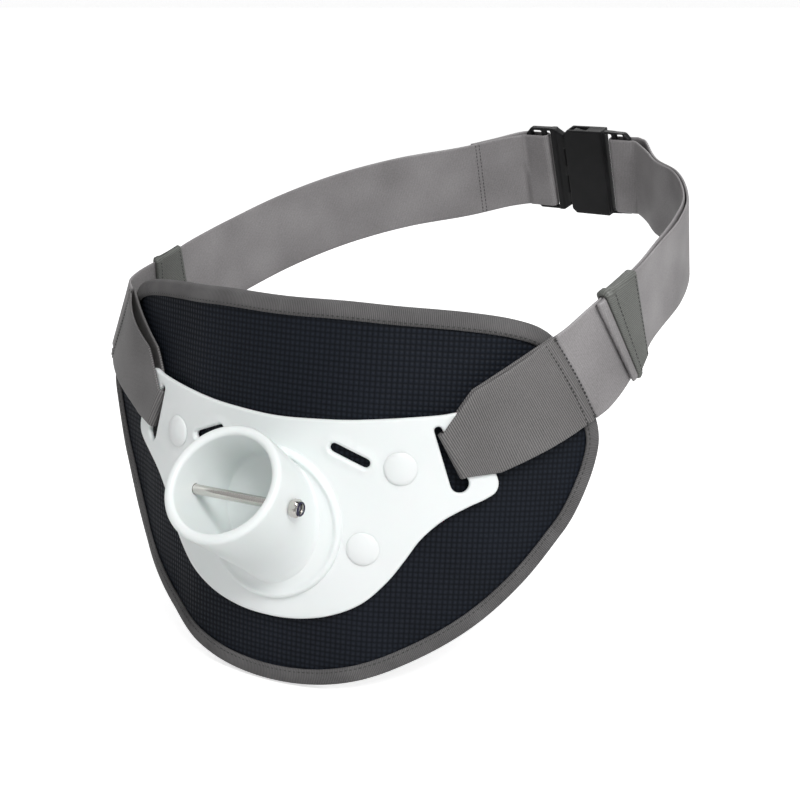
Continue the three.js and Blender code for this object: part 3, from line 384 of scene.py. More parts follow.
# %% Short names for shader nodes
class Finish:
    """A material whose nodes are added one call at a time."""

    def __init__(self, name, roughness=0.5, metallic=0.0, specular=0.5, **sockets):
        self.material = bpy.data.materials.new(name)
        self.material.use_nodes = True
        self.nodes, self.links = self.material.node_tree.nodes, self.material.node_tree.links
        self.shader = self.nodes["Principled BSDF"]
        sockets["Specular IOR Level"] = specular
        self.set(self.shader, Roughness=roughness, Metallic=metallic, **sockets)

    def set(self, node, **values):
        for name, value in values.items():
            self.feed(node.inputs[name], value)

    def feed(self, socket, value):
        if isinstance(value, bpy.types.NodeSocket):
            self.links.new(value, socket)
        else:
            socket.default_value = value

    def calc(self, operation, *values):
        node = self.nodes.new("ShaderNodeMath")
        node.operation = operation
        for socket, value in zip(node.inputs, values):
            self.feed(socket, value)
        return node.outputs[0]

    def weave(self):
        """The distances along and across the cloth, in millimetres."""
        uv = self.nodes.new("ShaderNodeUVMap")
        uv.uv_map = "weave"
        split = self.nodes.new("ShaderNodeSeparateXYZ")
        self.links.new(uv.outputs[0], split.inputs[0])
        return split.outputs[0], split.outputs[1]

    def wave(self, distance, pitch):
        """0 to 1 and back once in each pitch."""
        turn = self.calc("MULTIPLY", distance, 2 * math.pi / pitch)
        return self.calc("MULTIPLY_ADD", self.calc("SINE", turn), 0.5, 0.5)

    def noise(self, scale, detail=3.0, stretch=(1, 1, 1)):
        coordinates = self.nodes.new("ShaderNodeTexCoord")
        mapping = self.nodes.new("ShaderNodeMapping")
        mapping.inputs["Scale"].default_value = stretch
        self.links.new(coordinates.outputs["Object"], mapping.inputs[0])
        node = self.nodes.new("ShaderNodeTexNoise")
        self.links.new(mapping.outputs[0], node.inputs["Vector"])
        self.set(node, Scale=scale, Detail=detail)
        return node.outputs["Fac"]

    def ramp(self, value, *stops):
        node = self.nodes.new("ShaderNodeValToRGB")
        node.color_ramp.interpolation = "B_SPLINE" if len(stops) > 2 else "LINEAR"
        while len(node.color_ramp.elements) < len(stops):
            node.color_ramp.elements.new(0.5)
        for element, (position, colour) in zip(node.color_ramp.elements, stops):
            element.position, element.color = position, (*colour, 1.0)
        self.feed(node.inputs[0], value)
        return node.outputs[0]

    def limits(self, value, low, high, to_low, to_high):
        node = self.nodes.new("ShaderNodeMapRange")
        for socket, number in zip(node.inputs, (value, low, high, to_low, to_high)):
            self.feed(socket, number)
        return node.outputs[0]

    def bump(self, height, distance, strength=1.0):
        node = self.nodes.new("ShaderNodeBump")
        self.set(node, Height=height, Distance=distance, Strength=strength)
        self.links.new(node.outputs[0], self.shader.inputs["Normal"])

    def colour(self, value, *stops):
        self.feed(self.shader.inputs["Base Color"], self.ramp(value, *stops))

    def rough(self, value, *limits):
        self.feed(self.shader.inputs["Roughness"], self.limits(value, *limits))


print("finishes are built from node calls")

# %% [markdown]
# ## Cloth finishes
# The apron's cloth is embossed with a fine grid of rounded dots; the binding is a grosgrain tape
# with ribs square to its edge; the wing straps are a twill with fine slanting ribs, and the
# waist straps a satin whose ribs hardly show. All of them are drawn from the weave distances.
# Noise on top gives the uneven wear of used cloth on the pad and the binding; on the webbing
# a broad noise paints an uneven sheen, lighter and darker patches, into the colour.

# %% Embossed, ribbed and twilled cloth
def embossed_cloth(pitch=2.75):
    cloth = Finish("embossed_navy_cloth", specular=0.16)
    cubes = []
    for distance in cloth.weave():
        cell = cloth.calc("FRACT", cloth.calc("MULTIPLY", distance, 1 / pitch))
        offset = cloth.calc("ABSOLUTE", cloth.calc("SUBTRACT", cell, 0.5))
        cubes.append(cloth.calc("POWER", offset, 3.0))
    reach = cloth.calc("POWER", cloth.calc("ADD", *cubes), 1 / 3)
    dot = cloth.limits(reach, 0.08, 0.52, 1.0, 0.0)
    height = cloth.calc("MULTIPLY_ADD", cloth.noise(1400, 2), 0.35, dot)
    # the raised dots are painted lighter: a painted highlight on the embossing
    tone = cloth.calc("MULTIPLY_ADD", cloth.noise(26, 4), 0.3, cloth.calc("MULTIPLY", dot, 0.7))
    cloth.colour(tone, (0.1, (0.0022, 0.0033, 0.0058)), (0.85, (0.0105, 0.0142, 0.0225)))
    cloth.rough(dot, 0.0, 1.0, 0.75, 0.5)
    cloth.bump(height, 0.00035, 0.9)
    return cloth.material


def ribbed_tape():
    tape = Finish("grosgrain_binding", roughness=0.8, specular=0.3)
    along, across = tape.weave()
    rib = tape.wave(along, 0.95)
    height = tape.calc("MULTIPLY_ADD", tape.wave(across, 0.5), 0.2, rib)
    wear = tape.calc("MULTIPLY", tape.noise(60, 4), 0.6)
    tone = tape.calc("MULTIPLY_ADD", rib, 0.45, wear)
    tape.colour(tone, (0.15, (0.06, 0.0585, 0.0595)), (0.95, (0.185, 0.18, 0.181)))
    tape.bump(height, 0.00022, 0.9)
    return tape.material


def twill(name, dark, light, weave, cloud, slant=0.08, pitch=1.1):
    """weave and cloud say how much the ribs and the uneven painted sheen show in the colour."""
    web = Finish(name, specular=0.7)
    along, across = web.weave()
    rib = web.wave(web.calc("MULTIPLY_ADD", across, slant, along), pitch)
    speckle, sheen = web.noise(1300, 2), web.noise(19, 2)
    threads = web.calc("MULTIPLY_ADD", speckle, 0.3, rib)
    height = web.calc("MULTIPLY_ADD", web.wave(across, 0.8), 0.3, threads)
    # cloud weighs the broad sheen noise in the colour: painted sheen and painted shade in patches
    tone = web.calc("MULTIPLY_ADD", rib, weave, web.calc("MULTIPLY", sheen, cloud))
    tone = web.calc("MULTIPLY_ADD", speckle, 1 - weave - cloud, tone)
    web.colour(tone, (0.25, dark), (0.75, light))
    web.rough(sheen, 0.3, 0.7, 0.6, 0.4)
    web.bump(height, 0.00018, min(1.0, 2 * weave))
    return web.material


def sewing_thread(name, colour):
    thread = Finish(name, roughness=0.55, **{"Sheen Weight": 0.2})
    ply = thread.noise(2500, 2)
    thread.colour(ply, (0.3, tuple(0.6 * c for c in colour)), (0.7, colour))
    thread.bump(ply, 0.0001, 0.5)
    return thread.material


PAD_CLOTH = embossed_cloth()
BINDING_TAPE = ribbed_tape()
WEBBING = twill("warm_grey_twill", (0.05, 0.047, 0.047), (0.205, 0.197, 0.197), 0.42, 0.34)
# the satin's colour is mostly painted sheen, and its ribs hardly show
SATIN_WEBBING = twill("satin_grey_twill", (0.125, 0.118, 0.12), (0.35, 0.335, 0.34), 0.07, 0.6)
KEEPER_TAPE = twill("green_grey_twill", (0.06, 0.063, 0.057), (0.175, 0.182, 0.168), 0.3, 0.3)
DARK_THREAD = sewing_thread("dark_thread", (0.03, 0.029, 0.028))
print("cloth finishes:", [m.name for m in bpy.data.materials])

# %% [markdown]
# ## Hard finishes
# The plate is a satin moulded nylon that lets a little light in, so its hollows look greenish
# rather than grey. The buckle is a matt black acetal, the pin a polished steel with fine
# lengthwise drawing marks, and the insert in the nut a dark blue nylon.

# %% Moulded plastics and steel
def white_moulding():
    body = Finish("white_moulded_nylon", **{
        "Subsurface Weight": 0.12, "Subsurface Radius": (0.003, 0.005, 0.004), "Subsurface Scale": 1.0})
    body.colour(body.noise(14, 3), (0.3, (0.83, 0.875, 0.865)), (0.7, (0.87, 0.905, 0.9)))
    body.rough(body.noise(45, 4), 0.3, 0.7, 0.28, 0.4)
    body.bump(body.noise(900, 2), 0.00004, 0.3)
    return body.material


def black_moulding():
    body = Finish("black_acetal", specular=0.3)
    wear = body.noise(70, 5)
    body.colour(wear, (0.35, (0.005, 0.0052, 0.0056)), (0.75, (0.012, 0.012, 0.013)))
    body.rough(wear, 0.3, 0.7, 0.34, 0.52)
    body.bump(body.noise(1600, 2), 0.00006, 0.5)
    return body.material


def drawn_steel():
    steel = Finish("polished_stainless", metallic=1.0)
    lines = steel.noise(300, 3, (0.06, 1, 1))
    steel.colour(lines, (0.3, (0.56, 0.54, 0.51)), (0.7, (0.74, 0.72, 0.69)))
    steel.rough(lines, 0.3, 0.7, 0.14, 0.26)
    steel.bump(lines, 0.00002, 0.4)
    return steel.material


def blue_nylon():
    ring = Finish("blue_nylon", roughness=0.4)
    cloud = ring.noise(500, 3)
    ring.colour(cloud, (0.3, (0.006, 0.006, 0.028)), (0.7, (0.014, 0.014, 0.05)))
    ring.bump(cloud, 0.00005, 0.4)
    return ring.material


WHITE_PLASTIC, BLACK_PLASTIC = white_moulding(), black_moulding()
STAINLESS, NYLON = drawn_steel(), blue_nylon()
print("hard finishes:", WHITE_PLASTIC.name, BLACK_PLASTIC.name, STAINLESS.name, NYLON.name)

# %% [markdown]
# ## Handing a piece to the frame
# Every dressed piece gets one finish, moves with the belt's only body, and hides the plain
# solids that it stands for.

# %% Putting a piece into the frame
def dress(piece, finish, slot, *nodes):
    """Finish a piece, let it ride on the belt's one body, and let it stand for its solids."""
    piece.data.materials.clear()
    piece.data.materials.append(finish)
    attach(piece, "root")
    if nodes:
        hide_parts(*nodes)
    tris = sum(len(p.vertices) - 2 for p in piece.data.polygons)
    print(f"{piece.name}: {tris} triangles")
    return piece


# %% [markdown]
# ## The padded apron
# The apron is a foam panel between two cloths, thin at its bound edge and crowned towards the
# middle. It could be a voxel shape, but loops that follow the outline keep the edge clean and
# carry the weave. A short cloth simulation then blows it up a little between the places where
# the plate and the binding hold it down, as foam pushes its cover out.

# %% Faces of the pad
pad_outer = outline(PAD_OUTLINE, PAD, 320)
pad_edge = inset(pad_outer, TAPE + CLEAR)
plate_outer = outline(PLATE_OUTLINE, PLATE, 240)


def pad_crown(depth, reach=55.0):
    """0 at the binding, 1 this far inside it."""
    return smooth((depth - BINDING) / reach)


def pad_front(aside, depth, ear_from=0.42, ear_over=0.26):
    """The cover lies lower behind the plate's ears, to let the straps pass."""
    ear = smooth((np.abs(aside) / PLATE["half"] - ear_from) / ear_over)
    return PAD_FRONT - EAR_FALL * ear - EDGE_DIP * (1 - pad_crown(depth))


def pad_back(aside, depth):
    return pad_front(aside, depth) - lerp(PAD["edge"], PAD["thick"], pad_crown(depth))


def build_pad():
    middle = np.array([0.0, (PAD["rise"] - PAD["drop"]) / 2])
    inner = inset(pad_edge, BINDING + CLEAR)
    loops = [pad_edge, lerp(pad_edge, inner, 0.5), inner]
    loops += [lerp(middle, inner, share) for share in np.linspace(0.985, 0.06, 34)]
    flat = np.vstack([*loops, middle[None]])
    depth = distance_to(flat, pad_edge)
    skins = [lay(flat, face(flat[:, 0], depth)) for face in (pad_front, pad_back)]
    count, around = len(flat), len(pad_edge)
    pairs = [(j, (j + 1) % around) for j in range(around)]
    faces = []
    for skin in (0, count):
        for i in range(skin, skin + count - 1 - around, around):
            faces += [(i + j, i + k, i + around + k, i + around + j) for j, k in pairs]
        start = skin + count - 1 - around
        faces += [(start + j, start + k, skin + count - 1) for j, k in pairs]
        if skin == 0:
            faces = [face[::-1] for face in faces]
    faces += [(j, k, count + k, count + j) for j, k in pairs]
    flats = np.vstack([flat, flat])
    uvs = [flats[v] for face in faces for v in face]
    pad = new_piece("apron_pad", np.vstack(skins), faces, uvs)
    return pad, flats, np.concatenate([depth, depth])


pad, pad_flats, pad_depth = build_pad()
print("pad:", len(pad.data.vertices), "points")

# %% [markdown]
# ## Blowing up the pad
# Pressure on the closed skin pushes it out like foam. Points under the plate and the binding
# are pinned, so the swelling shows only where cloth is free. The move is capped, and the result
# is written into the mesh, so no simulation is left on the piece.

# %% A short cloth simulation
def held_down(flats, depth, edge_fade=14, plate_fade=12):
    """1 where the cover is held, under the binding and the plate; it fades out beside them."""
    edge = 1 - smooth((depth - BINDING - 1) / edge_fade)
    beside = 1 - smooth(distance_to(flats, plate_outer) / plate_fade)
    return np.clip(np.maximum(edge, np.where(inside(flats, plate_outer), 1.0, beside)), 0, 1)


def swell(piece, pinned, frames=20, cap=0.0016):
    """Blows the piece up by pressure for some frames; no point moves further than the cap."""
    start = np.array([v.co for v in piece.data.vertices])
    group = piece.vertex_groups.new(name="held")
    for index, weight in enumerate(pinned):
        group.add([index], float(weight), "REPLACE")
    cloth = piece.modifiers.new("foam", "CLOTH")
    settings = cloth.settings
    settings.quality, settings.mass = 5, 0.3
    settings.tension_stiffness = settings.compression_stiffness = 15
    settings.bending_stiffness = 2.0
    settings.vertex_group_mass = "held"
    settings.use_pressure, settings.uniform_pressure_force = True, 4.0
    settings.effector_weights.gravity = 0.0
    cloth.collision_settings.use_collision = False
    scene = bpy.context.scene
    scene.frame_start, scene.frame_end = 1, frames
    for number in range(1, frames + 1):
        scene.frame_set(number)
    posed = piece.evaluated_get(bpy.context.evaluated_depsgraph_get())
    moved = np.array([v.co for v in posed.data.vertices]) - start
    length = np.linalg.norm(moved, axis=1, keepdims=True)
    moved *= cap * np.tanh(length / cap) / np.maximum(length, 1e-9)
    piece.modifiers.remove(cloth)
    piece.vertex_groups.remove(group)
    scene.frame_set(1)
    piece.data.vertices.foreach_set("co", (start + moved).ravel())
    piece.data.update()
    print(f"{piece.name}: swelled by up to {1000 * np.linalg.norm(moved, axis=1).max():.2f} mm")


swell(pad, held_down(pad_flats, pad_depth))
dress(pad, PAD_CLOTH, "pad_cloth", "pad")

# %% [markdown]
# ## The binding
# A grosgrain tape is folded over the pad's raw edge and sewn through both sides. Its section is
# a slim U with a round nose, carried round the outline. The ribs come from the finish.

# %% Tape round the edge
NOSE, HEM_DEPTH = 2.6, 1.5


def tape_lift(depth, pinch=0.35, plump=0.6):
    """The tape is plump between its nose and its sewn edge, which the stitches pinch."""
    sewn = smooth((depth - BINDING + 1.4) / 1.4)
    return TAPE + CLEAR - pinch * sewn + plump * math.sin(math.pi * (BINDING - depth) / (BINDING - NOSE))


def build_binding():
    around = outline(PAD_OUTLINE, PAD, 560)
    profile = [(depth, "front", tape_lift(depth)) for depth in np.linspace(BINDING, NOSE, 9)]
    for angle in np.linspace(0, math.pi, 11)[1:-1]:
        profile.append((NOSE - NOSE * math.sin(angle) ** 0.8, "nose", math.cos(angle)))
    profile += [(d, "back", -g) for d, _, g in profile[8::-1]]
    profile += [(d, "back", -CLEAR) for d in (BINDING, 5.0, TAPE)]
    profile += [(d, "front", CLEAR) for d in (TAPE, 5.0, BINDING)]
    front, back = pad_front(around[:, 0], 0.0), pad_back(around[:, 0], 0.0)
    columns = []
    for depth, side, lift in profile:
        p = inset(around, depth)
        if side == "nose":
            out = (front + back) / 2 + lift * ((front - back) / 2 + TAPE + CLEAR)
        else:
            out = (front if side == "front" else back) + lift
        columns.append(lay(p, out))
    sections = np.stack(columns, 1)
    along = running_length(np.vstack([sections[:, 9], sections[:1, 9]]))
    across = running_length(sections[0])[None].repeat(len(around), 0)
    return lofted("edge_binding", sections, along, across, ring=True)


binding = dress(build_binding(), BINDING_TAPE, "binding_tape", "pad_binding")

# %% [markdown]
# ## Stitches that follow a line
# Hundreds of equal stitches lie along the tapes. Modelling them one by one would be slow to
# change, so a node tree cuts a line at the stitch pitch, sets a small rounded stitch at each
# point and turns it along the line and flat on the cloth. The result becomes a plain mesh.

# %% The stitching tree
def stitching_tree():
    tree = bpy.data.node_groups.new("stitch_along_line", "GeometryNodeTree")
    face = tree.interface
    face.new_socket("Geometry", in_out="INPUT", socket_type="NodeSocketGeometry")
    for name, value in (("Pitch", 0.003), ("Length", 0.0022), ("Width", 0.0006), ("Height", 0.0005)):
        face.new_socket(name, in_out="INPUT", socket_type="NodeSocketFloat").default_value = value
    face.new_socket("Seed", in_out="INPUT", socket_type="NodeSocketInt").default_value = 7
    face.new_socket("Thread", in_out="INPUT", socket_type="NodeSocketMaterial")
    face.new_socket("Geometry", in_out="OUTPUT", socket_type="NodeSocketGeometry")
    new = tree.nodes.new
    given, made = new("NodeGroupInput"), new("NodeGroupOutput")
    line, cut = new("GeometryNodeMeshToCurve"), new("GeometryNodeResampleCurve")
    cut.mode = "LENGTH"
    stitch, size = new("GeometryNodeMeshUVSphere"), new("ShaderNodeCombineXYZ")
    for name, value in (("Segments", 8), ("Rings", 5), ("Radius", 0.5)):
        stitch.inputs[name].default_value = value
    tangent, away = new("GeometryNodeInputTangent"), new("GeometryNodeInputNamedAttribute")
    away.data_type = "FLOAT_VECTOR"
    away.inputs["Name"].default_value = "lay"
    turn_x, turn_z = (new("FunctionNodeAlignRotationToVector") for _ in range(2))
    turn_x.axis, turn_z.axis, turn_z.pivot_axis = "X", "Z", "X"
    spread, scale = new("FunctionNodeRandomValue"), new("ShaderNodeVectorMath")
    spread.data_type, scale.operation = "FLOAT", "SCALE"
    spread.inputs[2].default_value, spread.inputs[3].default_value = 0.88, 1.06
    put, real = new("GeometryNodeInstanceOnPoints"), new("GeometryNodeRealizeInstances")
    paint = new("GeometryNodeSetMaterial")
    for start, out, end, into in (
            (given, "Geometry", line, "Mesh"), (line, "Curve", cut, "Curve"),
            (given, "Pitch", cut, "Length"), (given, "Length", size, 0),
            (given, "Width", size, 1), (given, "Height", size, 2),
            (tangent, 0, turn_x, "Vector"), (turn_x, 0, turn_z, "Rotation"),
            (away, 0, turn_z, "Vector"), (given, "Seed", spread, "Seed"),
            (size, 0, scale, 0), (spread, 1, scale, "Scale"),
            (cut, "Curve", put, "Points"), (stitch, "Mesh", put, "Instance"),
            (turn_z, 0, put, "Rotation"), (scale, 0, put, "Scale"),
            (put, "Instances", real, "Geometry"), (real, "Geometry", paint, "Geometry"),
            (given, "Thread", paint, "Material"), (paint, "Geometry", made, "Geometry")):
        tree.links.new(start.outputs[out], end.inputs[into])
    return tree


STITCHING = stitching_tree()
print("stitching tree:", len(STITCHING.nodes), "nodes")

# %% [markdown]
# ## Sewing a row
# A row is a line of points with the direction away from the cloth at each of them, so that a
# stitch lies flat on the tape even where it turns. The tree is run once and its mesh is kept.

# %% Stitches along rows
def sew(name, rows, thread, slot, pitch=3.0, length=2.2, width=0.65, height=0.55):
    """rows holds (points, normals) in mm; each row becomes a line of stitches."""
    points, edges, lays = [], [], []
    for line, normals in rows:
        edges += [(len(points) + i, len(points) + i + 1) for i in range(len(line) - 1)]
        points += to_frame(line).tolist()
        lays += np.asarray(normals).tolist()
    mesh = bpy.data.meshes.new(name)
    mesh.from_pydata(points, edges, [])
    away = mesh.attributes.new("lay", "FLOAT_VECTOR", "POINT")
    away.data.foreach_set("vector", np.asarray(lays, np.float32).ravel())
    line = in_scene(name + "_line", mesh)
    tree = line.modifiers.new("stitches", "NODES")
    tree.node_group = STITCHING
    sockets = {s.name: s.identifier for s in STITCHING.interface.items_tree if s.in_out == "INPUT"}
    for key, value in (("Pitch", pitch), ("Length", length), ("Width", width), ("Height", height)):
        tree[sockets[key]] = value / 1000
    tree[sockets["Thread"]] = thread
    stitches = in_scene(name, finished_mesh(line))
    stitches.data.name = name
    stitches.data.shade_smooth()
    bpy.data.objects.remove(line)
    return dress(stitches, thread, slot)


def row_on_body(flat, out, sign=1):
    """A row for sew: points on the body curve and the directions away from the cloth."""
    line = lay(flat, out)
    return line, unit(lay(flat, out + sign) - line)


# %% [markdown]
# ## The binding's seam
# One seam goes through both sides of the tape, 1.5 mm inside its edge, so the front and the back
# each show a row. Both rows use the same lift as the tape, so that they lie on it.

# %% Rows along the binding
def binding_rows():
    p = inset(outline(PAD_OUTLINE, PAD, 560), BINDING - HEM_DEPTH)
    p = np.vstack([p, p[:1]])
    rows = []
    for face, sign in ((pad_front, 1), (pad_back, -1)):
        out = face(p[:, 0], 0.0) + sign * (tape_lift(BINDING - HEM_DEPTH) + 0.05)
        rows.append(row_on_body(p, out, sign))
    return rows


sew("binding_stitches", binding_rows(), DARK_THREAD, "binding_tape",
    pitch=2.6, length=1.7, width=0.6, height=0.4)

# %% [markdown]
# ## Webbing
# Webbing is a flat woven tape, so each strap is a slim section with rounded selvedges carried
# along a line of stations. A station holds its middle, the direction up the width and the
# direction away from the waist. A folded strap is one run of stations that turns and comes back.

# %% A strap from its stations
ACROSS = np.array([-1, -0.985, -0.94, -0.8, -0.5, -0.17, 0.17, 0.5, 0.8, 0.94, 0.985, 1])
THICK = np.sqrt(np.clip(1 - np.maximum((np.abs(ACROSS) - 0.965) / 0.035, 0) ** 2, 0.06, 1))
SECTION = [*zip(ACROSS, THICK), *zip(ACROSS[::-1], -THICK[::-1])]


def webbing(name, sections, middles, halves):
    """One strap from its sections, their middles and their half widths, all in mm."""
    along = running_length(middles)
    print(f"{name}: {along[-1]:.0f} mm of webbing")
    return lofted(name, sections, along, [[u * half for u, _ in SECTION] for half in halves])


print("a strap's section has", len(SECTION), "points")

# %% [markdown]
# ## Wing straps
# At each side the webbing comes from the sewn corner of the pad, runs behind the ear of the
# plate, turns through its slot and comes back over the front to the same seam. It narrows where
# the slot gathers it, and two curved rows of stitches hold both layers at the corner.

# %% From the corner through the slot and back
SLOT = {"top": (0.726, 0.851), "bottom": (0.831, 0.449), "top_radius": 2.0, "bottom_radius": 4.7}
EAR = {"at": (0.93, 0.86), "lean": math.radians(22.5), "wide": 0.87, "gathered": 0.51}
WING_LAST, WING_CROWN = 62, 2.5
RIDGE = {"high": 0.75, "at": 3.5, "wide": 1.7}
SIDES = ((-1, "left"), (1, "right"))


def on_plate(aside, level):
    """A place on the plate's right half, given in shares of its size."""
    return np.array([aside * PLATE["half"], level * PLATE["rise" if level > 0 else "drop"]])


def slot_ends():
    """The right slot's two round ends, the heading from one to the other, and its taper."""
    top, bottom = on_plate(*SLOT["top"]), on_plate(*SLOT["bottom"])
    along = bottom - top
    taper = math.asin((SLOT["bottom_radius"] - SLOT["top_radius"]) / np.linalg.norm(along))
    return top, bottom, math.atan2(along[1], along[0]), taper


def slot_edge(side):
    """The slot's straight edge on the ear's side: its two ends."""
    top, bottom, heading, taper = slot_ends()
    angle = heading + math.pi / 2 + taper
    reach = np.array([math.cos(angle), math.sin(angle)])
    ends = top + reach * SLOT["top_radius"], bottom + reach * SLOT["bottom_radius"]
    return [end * (side, 1) for end in ends]


print("right slot's straight edge:", [end.round(1) for end in slot_edge(1)])

# %% [markdown]
# ## The stations of a wing strap
# The strap is drawn flat on the body curve: up behind the ear, round the slot's edge and back
# over the front. Each station blends two known places, so the webbing widens from the slot to
# the ear and from the ear to the seam without a kink.

# %% Both layers of a wing strap
def wing_front(share):
    """How far out the front layer's middle lies; the seam's two rows pull a ridge up."""
    from_end = (1 - share) * WING_LAST
    ridge = RIDGE["high"] * np.exp(-((from_end - RIDGE["at"]) / RIDGE["wide"]) ** 2)
    crown = WING_CROWN * np.sin(math.pi * share)
    return lerp(CLEAR + WEB["thick"] / 2, WING_FRONT, share) + crown + ridge


def wing_stations(side):
    """(flat middle, flat up, half width, out, face) from the seam, round the slot and back."""
    top, bottom = slot_edge(side)
    slot_middle, slot_up = (top + bottom) / 2, unit(top - bottom)
    away = np.array([side * abs(slot_up[1]), abs(slot_up[0])])
    ear = on_plate(*EAR["at"]) * (side, 1)
    ear_up = np.array([-side * math.sin(EAR["lean"]), math.cos(EAR["lean"])])
    ear_half, slot_half = EAR["wide"] * WEB["wide"] / 2, EAR["gathered"] * WEB["wide"] / 2
    seam, seam_up, onward = seam_frame(side)
    seam_end = seam + onward * SEAM_REACH / 2
    over = CLEAR + WEB["thick"] / 2
    under = -PLATE["thick"] - over
    turn_radius = PLATE["thick"] / 2 + over

    at_slot, at_ear = (slot_middle, slot_up, slot_half), (ear, ear_up, ear_half)
    at_seam = (seam_end, seam_up, WEB["wide"] / 2)

    def between(start, end, share, out, face):
        middle, up, half = (lerp(a, b, share) for a, b in zip(start, end))
        return middle, unit(up), half, out, (0, face)

    rows = [between(at_ear, at_seam, s, lerp(under, WING_BACK, smooth(2 * s)), -1)
            for s in np.linspace(1, 0, 22)]
    rows += [between(at_slot, at_ear, s, under, -1) for s in np.linspace(1, 0, 7)[1:-1]]
    for angle in np.linspace(0, math.pi, 15):
        rows.append((slot_middle - away * turn_radius * math.sin(angle), slot_up, slot_half,
                     -PLATE["thick"] / 2 - turn_radius * math.cos(angle),
                     (-math.sin(angle), -math.cos(angle))))
    rows += [between(at_slot, at_ear, s, over, 1) for s in np.linspace(0, 1, 7)[1:-1]]
    front = [*np.linspace(0, 0.84, 22), *np.linspace(0.86, 1, 16)]
    rows += [between(at_ear, at_seam, s, wing_front(s), 1) for s in front]
    return rows, away


def build_wing(name, side):
    rows, away = wing_stations(side)
    sections, middles = [], []
    for middle, up, half, out, face in rows:
        thick = WEB["thick"] / 2
        flat = np.array([middle + up * u * half + away * w * face[0] * thick for u, w in SECTION])
        sections.append(lay(flat, np.array([out + w * face[1] * thick for _, w in SECTION])))
        middles.append(lay(middle, out))
    return webbing(name, sections, middles, [row[2] for row in rows])


for side, hand in SIDES:
    wing = build_wing(f"wing_webbing_{hand}", side)
    dress(wing, WEBBING, "webbing", f"wing_strap_{hand}")

# %% [markdown]
# ## The waist strap's line
# The strap keeps upright in the belt plane, but starts flat on the leaning corner of the pad,
# so its up direction turns slowly over the first few centimetres. In the buckle it runs straight
# and its two layers spread to pass the bar that they turn round.

# %% Line, directions and layers of the waist strap
SAG, BAR_RADIUS = 1.3, 2.0
BARS = {1: {"turn": 27.0, "end": 36.0}, -1: {"turn": -25.0, "end": -36.0}}
OFF_BAR = BAR_RADIUS + CLEAR + WEB["thick"] / 2


def on_buckle(along, up, inwards):
    return buckle_centre + buckle_along * along + buckle_up * up + buckle_in * inwards


class BeltLine:
    """One side of the waist strap, measured from the corner seam."""

    def __init__(self, side):
        self.side, bars = side, BARS[side]
        self.entry = bars["end"] + side * (BAR_RADIUS + 1)
        reaches = SEAM_REACH / 2 + STRAP_START, SEAM_REACH / 2 + CLEAR + WEB["wide"] * 0.16
        points = [past_seam(side, reach) for reach in reaches]
        points += [route_point(*row) for row in ROUTE[side]]
        points += [on_buckle(self.entry + side * 3, -SAG, 0), on_buckle(self.entry, -SAG, 0)]
        self.dense, self.reached = curve_through(points, False)
        self.curve = self.reached[-1]
        self.length = self.curve + abs(bars["turn"] - self.entry)
        self.seam_up = unit(past_seam(side, SEAM_REACH / 2, 25) - past_seam(side, SEAM_REACH / 2, -25))

    def at(self, distance):
        """Middle, up the width and away from the waist."""
        if distance >= self.curve:
            middle = on_buckle(self.entry - self.side * (distance - self.curve), -SAG, 0)
            along = -self.side * buckle_along
        else:
            d = max(distance, 0.0)
            middle = at_distances(self.dense, self.reached, d)
            step = at_distances(self.dense, self.reached, np.array([max(d - 0.5, 0), d + 0.5]))
            along = unit(step[1] - step[0])
            if distance < 0:
                middle = middle + along * distance
        up = lerp(self.seam_up, BELT_UP, smooth(distance / (WEB["wide"] * 1.4)))
        up = unit(up - along * (up @ along) * smooth(distance / KEEPER["start"]))
        away = unit(np.cross(along, up))
        return middle, up, away * (1 if away @ (middle - WAIST) > 0 else -1)

    def layer(self, distance, offset, flip=False, thick=WEB["thick"]):
        """A station of the strap: its middle, up the width, away from the waist, and thickness."""
        middle, up, away = self.at(distance)
        return middle + away * offset, up, -away if flip else away, thick

    def spread(self, distance, far):
        """Both layers part before the bar; the outer one lies far off elsewhere."""
        return lerp(OFF_BAR, far, smooth((self.curve - distance) / 24.0))


BELT = {side: BeltLine(side) for side in (1, -1)}
print("strap from seam to bar:", {s: round(float(b.length), 1) for s, b in BELT.items()}, "mm")

# %% [markdown]
# ## The two waist straps
# Each strap runs from its corner to the buckle as the inner layer, turns round the bar and comes
# back as the outer layer, to the keeper on the right and to a sewn tail on the left.

# %% Both layers of each waist strap
SLACK = {"off": 1.3, "at": 112, "wide": 30}


def slack(line, distance):
    """The free outer layer stands off a little where the strap bends round the hip."""
    if line.side < 0:
        return 0.0
    return SLACK["off"] * math.exp(-((distance - SLACK["at"]) / SLACK["wide"]) ** 2)


def build_waist_strap(name, side):
    line, bar = BELT[side], BARS[side]["turn"]
    inner, outer, hem = (130, 100, KEEPER["start"] - CLEAR) if side > 0 else (110, 26, line.length - TAIL)
    stations = [line.layer(d, -line.spread(d, 0.0)) for d in np.linspace(-1.0, line.length, inner)]
    for angle in np.linspace(0, math.pi, 14)[1:-1]:
        radial = buckle_in * math.cos(angle) - side * buckle_along * math.sin(angle)
        middle = on_buckle(bar, -SAG, 0) + radial * OFF_BAR
        stations.append((middle, buckle_up, -radial, WEB["thick"]))
    far = WEB["thick"] + WEB["gap"]
    for d in np.linspace(line.length, hem, outer):
        stations.append(line.layer(d, line.spread(d, far) + slack(line, d), flip=True))
    if side > 0:
        fold = WEB["thick"] / 2 + WEB["gap"] + 1.6
        for back, thick in ((0.5, 2.5), (1.2, 3.2), (2.5, 3.3), (3.8, 3.1), (4.6, 2.3), (5, 1.0)):
            stations.append(line.layer(hem - back, fold, flip=True, thick=thick))
    half = WEB["wide"] / 2
    sections = [[middle + u * half * up + w * thick / 2 * away for u, w in SECTION]
                for middle, up, away, thick in stations]
    return webbing(name, sections, [station[0] for station in stations], [half] * len(stations))


for side, hand in SIDES:
    strap = build_waist_strap(f"waist_webbing_{hand}", side)
    dress(strap, SATIN_WEBBING, "webbing", f"waist_strap_{hand}")

